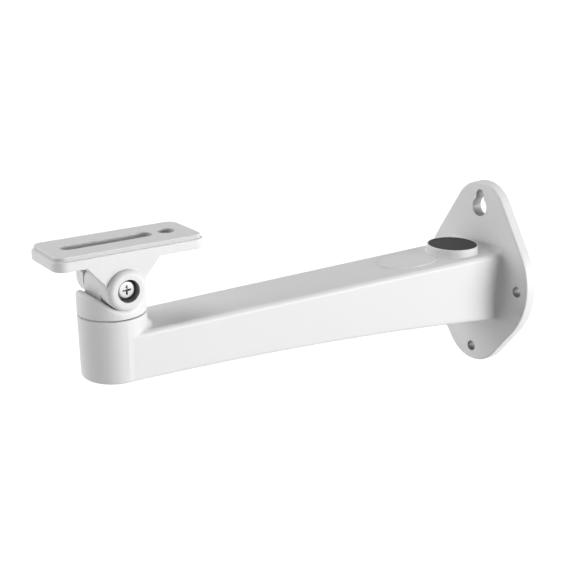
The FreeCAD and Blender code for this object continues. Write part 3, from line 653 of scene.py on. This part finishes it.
@dataclass(frozen=True)
class SkinFinish:
    """A finish of one plain colour with a fine skin: powder coat, rubber or pad, with painted
    shade in creases and holes where it is asked for.
    """

    name: str
    colour: tuple[float, float, float]
    roughness: float
    gloss_spread: float
    shade_spread: float
    wave_scale: float
    grain_scale: float
    grain_share: float
    relief: float
    mirror: float = 0.5
    # painted shade: the darker colour of hole walls and sides inside the shade mask
    painted_shade_colour: tuple[float, float, float] = (0.40, 0.40, 0.395)
    # how strongly painted shade darkens the colour in creases; 0 leaves it out
    crease_shade_share: float = 0.0

    def material(self, skin: SkinGroup, shaded_walls: PaintedShadeMaskGroup | None = None) -> Material:
        """Builds the material.

        Args:
            skin: The shared skin group.
            shaded_walls: The mask of the hole walls and sides that are painted darker as shade,
                where the finish has them.

        Returns:
            The material.
        """
        texture = Texture(self.name)
        layer = texture.group(
            skin.tree,
            Wave_Scale=self.wave_scale,
            Grain_Scale=self.grain_scale,
            Grain_Share=self.grain_share,
            Shade_Spread=self.shade_spread,
            Gloss_Middle=self.roughness,
            Gloss_Spread=self.gloss_spread,
        )
        painted_shade = None
        if shaded_walls is not None:
            painted_shade = (self.painted_shade_colour, texture.group(shaded_walls.tree).outputs["Mask"])
        shade = layer.outputs["Shade"]
        # painted shade: ambient occlusion darkens the colour in creases and hollows
        if self.crease_shade_share:
            creases = texture.group(skin.creases.tree, Share=self.crease_shade_share).outputs["Shade"]
            shade = texture.value("MULTIPLY", shade, creases)
        texture.shade(self.colour, shade, painted_shade)
        texture.join(layer.outputs["Roughness"], texture.shader.inputs["Roughness"])
        texture.bump(layer.outputs["Height"], self.relief)
        texture.shader.inputs["Specular IOR Level"].default_value = self.mirror
        return texture.material


@dataclass(frozen=True)
class SteelFinish:
    """Plated steel with the rings of the lathe on its flat faces."""

    name: str
    heading: Heading
    centre: tuple[float, float]
    colour: tuple[float, float, float] = (0.62, 0.62, 0.61)
    roughness: float = 0.32
    gloss_spread: float = 0.14
    shade_spread: float = 0.10
    relief: float = 0.000006

    def material(self, skin: SkinGroup) -> Material:
        """Builds the material.

        Args:
            skin: The shared skin group.

        Returns:
            The material.
        """
        texture = Texture(self.name)
        rings = texture.group(
            LatheGroup(self.heading).tree,
            Centre_Y=self.centre[0],
            Centre_Z=self.centre[1],
            Shade_Spread=self.shade_spread,
        )
        layer = texture.group(
            skin.tree, Gloss_Middle=self.roughness, Gloss_Spread=self.gloss_spread
        )
        texture.shade(self.colour, rings.outputs["Shade"])
        texture.join(layer.outputs["Roughness"], texture.shader.inputs["Roughness"])
        texture.bump(rings.outputs["Height"], self.relief)
        texture.shader.inputs["Metallic"].default_value = 1.0
        return texture.material


def dress(piece: Object, material: Material) -> None:
    """Gives every face of a piece one material.

    Args:
        piece: The piece, or a node of the frame.
        material: The material.
    """
    if not piece.material_slots:
        piece.data.materials.append(material)
    for slot in piece.material_slots:
        slot.material = material
    LOG.info("%s wears %s", piece.name, material.name)


def stand_in(piece: Object, node: str, body: Body) -> None:
    """Shows a modelled piece in place of a frame node.

    Args:
        piece: The modelled piece.
        node: The node that it stands for.
        body: The body that it rides on.
    """
    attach(piece, body.value)
    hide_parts(node)
    LOG.info("%s stands for %s", piece.name, node)


@dataclass
class Castings:
    """The powder-coated castings and the pad, which keep the frame's solids."""

    skin: SkinGroup
    paint: SkinFinish = SkinFinish(
        name="white powder coat",
        colour=(0.86, 0.86, 0.858),
        roughness=0.46,
        gloss_spread=0.12,
        shade_spread=0.03,
        wave_scale=650.0,
        grain_scale=2600.0,
        grain_share=0.35,
        relief=0.00003,
        # painted shade in the castings' creases and hollows
        crease_shade_share=0.34,
    )
    pad: SkinFinish = SkinFinish(
        name="pale pad",
        colour=(0.91, 0.91, 0.908),
        roughness=0.60,
        gloss_spread=0.10,
        shade_spread=0.05,
        wave_scale=1500.0,
        grain_scale=5200.0,
        grain_share=0.6,
        relief=0.00005,
        # painted shade on the pad's sides and openings
        painted_shade_colour=(0.70, 0.70, 0.695),
    )
    wall_hole_radius: float = 3.25 * MM
    side_hole_out: float = 35.8 * MM
    foot_hole_drop: float = 46.7 * MM
    keyhole_rise: float = 47.2 * MM
    keyhole_radius: float = 6.0 * MM
    keyhole_neck: float = 7.8 * MM
    slot_radius: float = 4.3 * MM
    slot_front: float = 21.2 * MM
    slot_rear: float = 19.4 * MM
    hole_rear: float = 32.3 * MM
    pad_fit: float = 0.3 * MM
    pad_face: float = 0.45 * MM
    recess_radius: float = 5.85 * MM
    # painted shade on the walls of the screw recess and the bore behind it
    recess_shade_colour: tuple[float, float, float] = (0.60, 0.60, 0.595)

    def wall_cuts(self) -> tuple[Bore, ...]:
        """The holes of the wall plate.

        Returns:
            The side holes, the lower hole, and the keyhole's wide end and neck.
        """
        radius, half_neck = self.wall_hole_radius, self.keyhole_neck / 2
        neck_middle = (0.0, 0.0, self.keyhole_rise + half_neck)
        return (
            Bore(Axis.Y, (self.side_hole_out, 0.0, 0.0), radius),
            Bore(Axis.Y, (-self.side_hole_out, 0.0, 0.0), radius),
            Bore(Axis.Y, (0.0, 0.0, -self.foot_hole_drop), radius),
            Bore(Axis.Y, (0.0, 0.0, self.keyhole_rise), self.keyhole_radius),
            Bore(Axis.Y, neck_middle, radius, (0.0, 0.0, half_neck)),
        )

    def pad_shade_zones(self) -> tuple[Bore, ...]:
        """The places where the pad is painted darker as shade: its slot, its round hole and its
        outer sides.

        Returns:
            The two openings, and a level that takes in all but the rounded upper face.
        """
        axis_y = middle_of("tilt_screw").y
        middle = axis_y + (self.slot_rear - self.slot_front) / 2
        run = (self.slot_rear + self.slot_front) / 2
        radius = self.slot_radius + self.pad_fit
        low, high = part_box("camera_pad")
        sides = high.z - low.z - self.pad_face
        return (
            Bore(Axis.Z, (0.0, middle, 0.0), radius, (0.0, run, 0.0)),
            Bore(Axis.Z, (0.0, axis_y + self.hole_rear, 0.0), radius),
            Bore(Axis.X, (0.0, axis_y, low.z), sides, (0.0, high.y - low.y, 0.0)),
        )

    def screw_recess(self) -> Bore:
        """The recess of the tilt screw, with the bore behind it."""
        return Bore(Axis.X, (0.0, *middle_of("tilt_screw")[1:]), self.recess_radius)

    def build(self) -> None:
        """Dresses the nodes."""
        # painted shade: a darker colour on the walls of the wall plate's holes, the screw recess
        # and its bore, and the pad's sides and openings
        walls = PaintedShadeMaskGroup("painted hole shade of the wall plate", self.wall_cuts())
        cradle = PaintedShadeMaskGroup("painted shade of the screw recess", (self.screw_recess(),))
        cover = PaintedShadeMaskGroup("painted shade of the pad's sides and openings", self.pad_shade_zones())
        # the castings' paint with the screw recess painted darker as shade
        plate = replace(
            self.paint, name="white powder coat, shaded recess", painted_shade_colour=self.recess_shade_colour
        )
        for node, finish, shaded_walls in (
            ("wall_arm", self.paint, walls),
            ("swivel_body", self.paint, None),
            ("camera_plate", plate, cradle),
            ("camera_pad", self.pad, cover),
        ):
            dress(frame["nodes"][node], finish.material(self.skin, shaded_walls))


@dataclass
class CablePlug:
    """The rubber plug in the cable boss: a flat lid with a raised rim, and a skirt below."""

    skin: SkinGroup
    lid_radius: float = 15.2 * MM
    lid_thickness: float = 1.8 * MM
    rim_round: float = 0.5 * MM
    rim_width: float = 1.1 * MM
    dish_depth: float = 0.18 * MM
    skirt_radius: float = 11.9 * MM
    skirt_wall: float = 1.6 * MM
    skirt_length: float = 6.0 * MM
    lip: float = 0.15 * MM
    finish: SkinFinish = SkinFinish(
        name="charcoal rubber",
        colour=(0.036, 0.037, 0.040),
        roughness=0.74,
        gloss_spread=0.16,
        shade_spread=0.16,
        wave_scale=900.0,
        grain_scale=4200.0,
        grain_share=0.5,
        relief=0.00004,
        mirror=0.25,
    )

    def profile(self) -> Profile:
        """The half section of the plug.

        Returns:
            The corners from the middle of the top to the middle of the hollow.
        """
        lid, dish, lip = self.lid_radius, self.dish_depth, self.lip
        dish_radius = lid - self.rim_width
        outside, inside = self.skirt_radius, self.skirt_radius - self.skirt_wall
        low = -self.lid_thickness
        foot = low - self.skirt_length
        return [
            (0.0, -dish),
            (dish_radius / 2, -dish),
            (dish_radius - dish, -dish),
            (dish_radius, -dish / 3),
            (dish_radius + dish, 0.0),
            *quarter_round(lid, 0.0, self.rim_round, step=15),
            (lid, low + lip),
            (lid - lip, low),
            (outside, low),
            (outside, foot + lip),
            (outside - lip, foot),
            (inside + lip, foot),
            (inside, foot + lip),
            (inside, low),
            (0.0, low),
        ]

    def build(self) -> None:
        """Models the plug in the boss of the arm."""
        place = middle_of("cable_plug")
        place.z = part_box("cable_plug")[1].z
        piece = Bench.turned("cable_plug_moulded", self.profile(), steps=96)
        Bench.seat(piece, place)
        dress(piece, self.finish.material(self.skin))
        stand_in(piece, "cable_plug", Body.BRACKET)


@dataclass(frozen=True)
class Washer:
    """A flat or a split spring washer on local Z, standing on the origin."""

    outer: float
    bore: float
    thickness: float
    edge: float = 0.12 * MM
    split: float = 0.0
    split_angle: float = 18.0
    steps: int = 64

    def build(self, name: str) -> Object:
        """Models the washer.

        Args:
            name: The piece's name.

        Returns:
            The washer.
        """
        top = self.thickness
        ring = [(self.bore, 0.0), (self.outer, 0.0), (self.outer, top), (self.bore, top)]
        piece = Bench.turned(name, [*ring, ring[0]], self.steps)
        if self.split:
            bpy.ops.mesh.primitive_cube_add(
                size=1.0,
                location=(self.outer, 0.0, top / 2),
                rotation=(math.radians(self.split_angle), 0.0, 0.0),
            )
            blade = Bench.start("split blade")
            blade.scale = (2 * self.outer - self.bore, self.split, 3 * top)
            bpy.ops.object.transform_apply(location=True, rotation=True, scale=True)
            Bench.combine(piece, blade, "DIFFERENCE")
        Bench.soften(piece, self.edge)
        return piece


@dataclass(frozen=True)
class Shank:
    """The threaded part of a screw, below the origin or above it."""

    radius: float
    length: float
    pitch: float
    depth: float
    tip: float

    def profile(self) -> Profile:
        """The half section of the thread.

        Returns:
            The corners from the head down to the middle of the tip.
        """
        crest, root, end = self.radius, self.radius - self.depth, -self.length
        points = [(crest, -self.pitch)]
        level = -2 * self.pitch
        while level - self.pitch > end + self.tip:
            points.append((crest, level))
            points.append((root, level - self.pitch / 2))
            level -= self.pitch
        points.append((crest, end + self.tip))
        points.append((crest - self.tip, end))
        points.append((0.0, end))
        return points


@dataclass
class PanFasteners:
    """The socket bolt under the hub with its two washers."""

    skin: SkinGroup
    head_radius: float = 6.5 * MM
    head_height: float = 8.0 * MM
    head_edge: float = 0.8 * MM
    head_flat: float = 3.9 * MM
    edge_bulge: tuple[float, float] = (0.24 * MM, 0.2 * MM)
    knurl_count: int = 48
    knurl_depth: float = 0.965
    knurl_margin: float = 1.3 * MM
    socket_flats: float = 6.0 * MM
    socket_depth: float = 4.0 * MM
    socket_point: float = 1.2 * MM
    shank: Shank = Shank(
        radius=4.0 * MM, length=30.0 * MM, pitch=1.25 * MM, depth=0.5 * MM, tip=0.7 * MM
    )
    spring: Washer = Washer(
        outer=7.2 * MM, bore=4.15 * MM, thickness=2.0 * MM, edge=0.2 * MM, split=0.8 * MM
    )
    flat: Washer = Washer(outer=9.5 * MM, bore=4.15 * MM, thickness=1.6 * MM, edge=0.25 * MM)

    def in_groove(self, point: Vector) -> bool:
        """Whether a corner of the turned head belongs to one of the knurl's grooves.

        Args:
            point: The corner's place.

        Returns:
            True for every other corner round the side, between the two margins.
        """
        margin = self.knurl_margin - WELD
        side = math.hypot(point.x, point.y) > self.head_radius - WELD
        between = margin < point.z < self.head_height - margin
        half_pitch = math.pi / self.knurl_count
        step = round((math.atan2(point.y, point.x) + FULL_TURN) / half_pitch)
        return side and between and step % 2 == 1

    def bolt(self) -> Object:
        """Models the bolt with its head above the origin and its shank below.

        Returns:
            The bolt, still pointing up.
        """
        top, edge, wide = self.head_height, self.head_edge, self.head_radius
        margin = self.knurl_margin
        bulge_in, bulge_down = self.edge_bulge
        head = [
            (0.0, top),
            (self.head_flat, top),
            (wide - edge, top),
            (wide - bulge_in, top - bulge_down),
            (wide, top - edge),
            (wide, top - margin),
            (wide, margin),
            (wide, edge / 2),
            (wide - edge / 2, 0.0),
            (self.shank.radius, 0.0),
        ]
        profile = [*head, *self.shank.profile()]
        piece = Bench.turned("pan_bolt_turned", profile, 2 * self.knurl_count)
        Bench.edit()
        Bench.pick_points(piece, self.in_groove)
        bpy.ops.transform.resize(
            value=(self.knurl_depth, self.knurl_depth, 1.0), center_override=(0.0, 0.0, 0.0)
        )
        Bench.leave()
        tool = Bench.prism("socket tool", self.socket_flats, top - self.socket_depth, top + MM)
        Bench.edit()
        Bench.pick_points(tool, lambda point: point.z < top)
        bpy.ops.mesh.extrude_region_move(
            TRANSFORM_OT_translate={"value": (0.0, 0.0, -self.socket_point)}
        )
        bpy.ops.mesh.merge(type="CENTER")
        Bench.leave()
        Bench.combine(piece, tool, "DIFFERENCE")
        return piece

    def build(self) -> None:
        """Models the three fasteners on the pan axis."""
        axis_x, axis_y, _ = middle_of("pan_bolt")
        steel = SteelFinish("plated steel of the pan bolt", Heading.UP, (axis_y, 0.0))
        finish = steel.material(self.skin)
        bolt = self.bolt()
        Bench.take(bolt)
        bolt.matrix_world = Matrix.Rotation(math.pi, 4, "X")
        bpy.ops.object.transform_apply(location=True, rotation=True, scale=True)
        seat_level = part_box("pan_bolt")[0].z + self.head_height
        Bench.seat(bolt, Vector((axis_x, axis_y, seat_level)))
        dress(bolt, finish)
        stand_in(bolt, "pan_bolt", Body.SWIVEL)
        for washer, node in ((self.spring, "pan_spring_washer"), (self.flat, "pan_flat_washer")):
            piece = washer.build(f"{node}_turned")
            Bench.seat(piece, Vector((axis_x, axis_y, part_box(node)[0].z)))
            dress(piece, finish)
            stand_in(piece, node, Body.SWIVEL)


@dataclass
class TiltFasteners:
    """The cross-recess screw through the ears, with its washers and nut."""

    skin: SkinGroup
    head_radius: float = 4.75 * MM
    head_height: float = 3.6 * MM
    head_round: float = 1.25 * MM
    seat_edge: float = 0.2 * MM
    recess_span: float = 2.7 * MM
    recess_width: float = 1.2 * MM
    recess_depth: float = 2.2 * MM
    recess_taper: float = 0.6
    shank: Shank = Shank(
        radius=2.5 * MM, length=30.0 * MM, pitch=0.8 * MM, depth=0.3 * MM, tip=0.5 * MM
    )
    spring: Washer = Washer(
        outer=4.5 * MM, bore=2.65 * MM, thickness=1.2 * MM, edge=0.12 * MM, split=0.8 * MM
    )
    flat: Washer = Washer(outer=5.0 * MM, bore=2.65 * MM, thickness=1.0 * MM, edge=0.15 * MM)
    nut_flats: float = 8.0 * MM
    nut_height: float = 4.0 * MM
    nut_bore: float = 2.5 * MM
    nut_chamfer: float = 0.35 * MM
    nut_face_radius: float = 3.88 * MM
    nut_envelope_radius: float = 4.96 * MM
    nut_slope: float = math.radians(30)
    steel_colour: tuple[float, float, float] = (0.42, 0.42, 0.415)
    steel_roughness: float = 0.40

    def head_profile(self) -> Profile:
        """The half section of the head.

        Returns:
            The corners from the middle of its face to its seat.
        """
        wide, top, lip = self.head_radius, self.head_height, self.seat_edge
        return [
            (0.0, top),
            (self.recess_span / 2, top),
            *quarter_round(wide, top, self.head_round, step=10),
            (wide, lip),
            (wide - lip, 0.0),
            (self.shank.radius, 0.0),
        ]

    def faces_out(self, face: bmesh.types.BMFace, side: Vector) -> bool:
        """Whether a face of the cross tool's middle block looks squarely to one side.

        Args:
            face: The face.
            side: The direction, at right angles to the screw's axis.

        Returns:
            True for the one face that an arm of the cross grows from.
        """
        middle = face.calc_center_median()
        outwards = middle.dot(side)
        sideways = (middle - side * outwards).xy.length
        at_block = abs(outwards - self.recess_width / 2) < WELD
        return face.normal.dot(side) > SQUARE_ON and at_block and sideways < WELD

    def cross_tool(self) -> Object:
        """Models the tapered cross that is cut into the head.

        Returns:
            The tool.
        """
        width, depth, top = self.recess_width, self.recess_depth, self.head_height
        bpy.ops.mesh.primitive_cube_add(size=1.0, location=(0.0, 0.0, top - depth / 2 + MM / 2))
        tool = Bench.start("cross tool")
        tool.scale = (width, width, depth + MM)
        bpy.ops.object.transform_apply(location=True, rotation=True, scale=True)
        Bench.edit()
        reach = self.recess_span - width / 2
        for side in (Vector((1, 0, 0)), Vector((-1, 0, 0)), Vector((0, 1, 0)), Vector((0, -1, 0))):
            Bench.pick_faces(tool, lambda face, side=side: self.faces_out(face, side))
            bpy.ops.mesh.extrude_region_move(TRANSFORM_OT_translate={"value": side * reach})
        Bench.pick_points(tool, lambda point: point.z < top - depth + WELD)
        bpy.ops.transform.resize(
            value=(self.recess_taper, self.recess_taper, 1.0), center_override=(0.0, 0.0, 0.0)
        )
        Bench.leave()
        return tool

    def screw(self) -> Object:
        """Models the screw with its head above the origin and its shank below.

        Returns:
            The screw.
        """
        profile = [*self.head_profile(), *self.shank.profile()]
        piece = Bench.turned("tilt_screw_turned", profile, 64)
        Bench.combine(piece, self.cross_tool(), "DIFFERENCE")
        return piece

    def nut(self) -> Object:
        """Models the nut with turned chamfers on both faces, on local Z from the origin.

        Returns:
            The nut.
        """
        high, bore, chamfer = self.nut_height, self.nut_bore, self.nut_chamfer
        piece = Bench.prism("tilt_nut_milled", self.nut_flats, 0.0, high)
        face, far = self.nut_face_radius, self.nut_envelope_radius
        drop = (far - face) * math.tan(self.nut_slope)
        envelope = [
            (0.0, 0.0),
            (face, 0.0),
            (far, drop),
            (far, high - drop),
            (face, high),
            (0.0, high),
        ]
        Bench.combine(piece, Bench.turned("nut envelope", envelope, 72), "INTERSECT")
        hole = [
            (0.0, -MM),
            (bore + chamfer + MM, -MM),
            (bore, chamfer),
            (bore, high - chamfer),
            (bore + chamfer + MM, high + MM),
            (0.0, high + MM),
        ]
        Bench.combine(piece, Bench.turned("nut bore", hole, 48), "DIFFERENCE")
        return piece

    def build(self) -> None:
        """Models the four fasteners on the tilt axis."""
        _, axis_y, axis_z = middle_of("tilt_screw")
        steel = SteelFinish(
            "dull plated steel of the tilt screw",
            Heading.NEAR_SIDE,
            (axis_y, axis_z),
            colour=self.steel_colour,
            roughness=self.steel_roughness,
        )
        finish = steel.material(self.skin)
        pieces = {
            "tilt_screw": self.screw(),
            "tilt_spring_washer": self.spring.build("tilt_spring_washer_turned"),
            "tilt_flat_washer": self.flat.build("tilt_flat_washer_turned"),
            "tilt_nut": self.nut(),
        }
        for node, piece in pieces.items():
            low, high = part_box(node)
            x = high.x - self.head_height if node == "tilt_screw" else low.x
            Bench.seat(piece, Vector((x, axis_y, axis_z)), Heading.NEAR_SIDE)
            dress(piece, finish)
            stand_in(piece, node, Body.CRADLE)


@dataclass(frozen=True)
class SoftLamp:
    """A large soft oval lamp aimed at the bracket.

    Its bearing is counted from the near side (+X) towards the wall (+Y), and its share is the
    light that it gives to a white surface that faces it.
    """

    name: str
    bearing: float
    elevation: float
    distance: float
    width: float
    height: float
    share: float

    def build(self, aim: Vector) -> None:
        """Adds the lamp.

        Args:
            aim: The point that it faces.
        """
        turn, rise = math.radians(self.bearing), math.radians(self.elevation)
        way = Vector(
            (math.cos(rise) * math.cos(turn), math.cos(rise) * math.sin(turn), math.sin(rise))
        )
        data = bpy.data.lights.new(self.name, "AREA")
        data.shape = "ELLIPSE"
        data.size = self.width
        data.size_y = self.height
        data.energy = self.share * math.pi**2 * self.distance**2
        lamp = bpy.data.objects.new(self.name, data)
        bpy.context.scene.collection.objects.link(lamp)
        lamp.location = aim + way * self.distance
        lamp.rotation_euler = (-way).to_track_quat("-Z", "Y").to_euler()
        lamp.visible_camera = False
        LOG.info("%s placed", self.name)


@dataclass
class Studio:
    """The pale floor, the even surroundings and the soft lamps."""

    aim: Vector = field(default_factory=lambda: Vector((0.0, -0.14, 0.01)))
    floor_drop: float = 0.045
    floor_radius: float = 9.0
    floor_colour: float = 0.62
    floor_glow: float = 0.86
    fade: tuple[float, float] = (2.0, 5.0)
    ambient: float = 0.03
    lamps: tuple[SoftLamp, ...] = (
        SoftLamp(
            "near side lamp",
            bearing=33.0, elevation=6.0, distance=3.4, width=3.6, height=0.8, share=1.05,
        ),
        SoftLamp(
            "far side lamp",
            bearing=-120.0, elevation=14.0, distance=2.4, width=1.8, height=1.8, share=0.535,
        ),
        SoftLamp(
            "overhead lamp",
            bearing=180.0, elevation=70.0, distance=2.4, width=2.2, height=2.2, share=0.42,
        ),
    )

    def seen(self, board: NodeBoard) -> Socket:
        """A value of 1 for camera, mirror and glass rays, and 0 for the rest.

        Args:
            board: The nodes that need it.

        Returns:
            The value.
        """
        rays = board.add("ShaderNodeLightPath").outputs
        direct = board.value("MAXIMUM", rays["Is Camera Ray"], rays["Is Glossy Ray"])
        return board.value("MAXIMUM", direct, rays["Is Transmission Ray"])

    def floor_material(self) -> Material:
        """Builds the floor's finish: pale, white far away, and see-through from below.

        Returns:
            The material.
        """
        texture = Texture("pale studio floor")
        texture.tree.nodes.remove(texture.shader)
        place = texture.add("ShaderNodeTexCoord").outputs["Object"]
        away = texture.vector("DISTANCE", place, self.aim)
        fade = texture.add("ShaderNodeMapRange")
        fade.inputs["From Min"].default_value, fade.inputs["From Max"].default_value = self.fade
        fade.inputs["To Min"].default_value = self.floor_glow
        strength = texture.value("MULTIPLY", self.seen(texture), fade.outputs["Result"])
        glow = texture.add("ShaderNodeEmission")
        matt = texture.add("ShaderNodeBsdfDiffuse")
        matt.inputs["Color"].default_value = (*[self.floor_colour] * 3, 1.0)
        lit = texture.add("ShaderNodeAddShader")
        clear = texture.add("ShaderNodeBsdfTransparent")
        side = texture.add("ShaderNodeNewGeometry").outputs["Backfacing"]
        surface = texture.add("ShaderNodeMixShader")
        end = next(n for n in texture.tree.nodes if n.type == "OUTPUT_MATERIAL")
        for source, target in (
            (away, fade.inputs["Value"]),
            (strength, glow.inputs["Strength"]),
            (matt.outputs[0], lit.inputs[0]),
            (glow.outputs[0], lit.inputs[1]),
            (side, surface.inputs["Fac"]),
            (lit.outputs[0], surface.inputs[1]),
            (clear.outputs[0], surface.inputs[2]),
            (surface.outputs[0], end.inputs["Surface"]),
        ):
            texture.join(source, target)
        return texture.material

    def floor(self) -> None:
        """Lays the floor below the bracket."""
        low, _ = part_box("wall_arm")
        bpy.ops.mesh.primitive_circle_add(
            vertices=96,
            radius=self.floor_radius,
            fill_type="NGON",
            location=(self.aim.x, self.aim.y, low.z - self.floor_drop),
        )
        piece = Bench.start("studio_floor")
        bpy.ops.object.transform_apply(location=True, rotation=True, scale=True)
        piece.data.materials.append(self.floor_material())

    def surroundings(self) -> None:
        """Lights the scene evenly, and shows white to the camera."""
        world = bpy.data.worlds.new("studio surroundings")
        world.use_nodes = True
        board = NodeBoard(world.node_tree)
        light = next(n for n in board.tree.nodes if n.type == "BACKGROUND")
        light.inputs["Color"].default_value = (1.0, 1.0, 1.0, 1.0)
        strength = board.add("ShaderNodeMix", data_type="FLOAT")
        strength.inputs["A"].default_value = self.ambient
        strength.inputs["B"].default_value = 1.0
        board.join(self.seen(board), strength.inputs["Factor"])
        board.join(strength.outputs["Result"], light.inputs["Strength"])
        bpy.context.scene.world = world

    def build(self) -> None:
        """Builds the studio."""
        self.floor()
        self.surroundings()
        for lamp in self.lamps:
            lamp.build(self.aim)
        bpy.context.scene.view_settings.view_transform = "Standard"


@dataclass(frozen=True)
class PhotoCamera:
    """The camera at the photograph's place and angle, counted from the front (-Y) to +X."""

    place: tuple[float, float, float] = (0.461245, -0.480425, 0.207662)
    azimuth: float = 55.165
    elevation: float = 17.945
    lens: float = 67.525
    sensor: float = 36.0

    def build(self) -> None:
        """Adds the camera and makes it the scene's own."""
        turn, rise = math.radians(self.azimuth), math.radians(self.elevation)
        back = Vector(
            (math.sin(turn) * math.cos(rise), -math.cos(turn) * math.cos(rise), math.sin(rise))
        )
        data = bpy.data.cameras.new("photo camera")
        data.lens = self.lens
        data.sensor_width = self.sensor
        data.clip_start = 0.01
        data.clip_end = 100.0
        camera = bpy.data.objects.new("photo_camera", data)
        bpy.context.scene.collection.objects.link(camera)
        camera.location = self.place
        camera.rotation_euler = (-back).to_track_quat("-Z", "Y").to_euler()
        bpy.context.scene.camera = camera


def main() -> None:
    """Builds every sub-assembly in order, then the studio and the camera."""
    logging.basicConfig(level=logging.INFO, format="%(name)s: %(message)s")
    skin = SkinGroup()
    for part in (Castings(skin), CablePlug(skin), PanFasteners(skin), TiltFasteners(skin)):
        part.build()
        LOG.info("%s done", type(part).__name__)
    Studio().build()
    PhotoCamera().build()


if __name__ == "__main__":
    main()
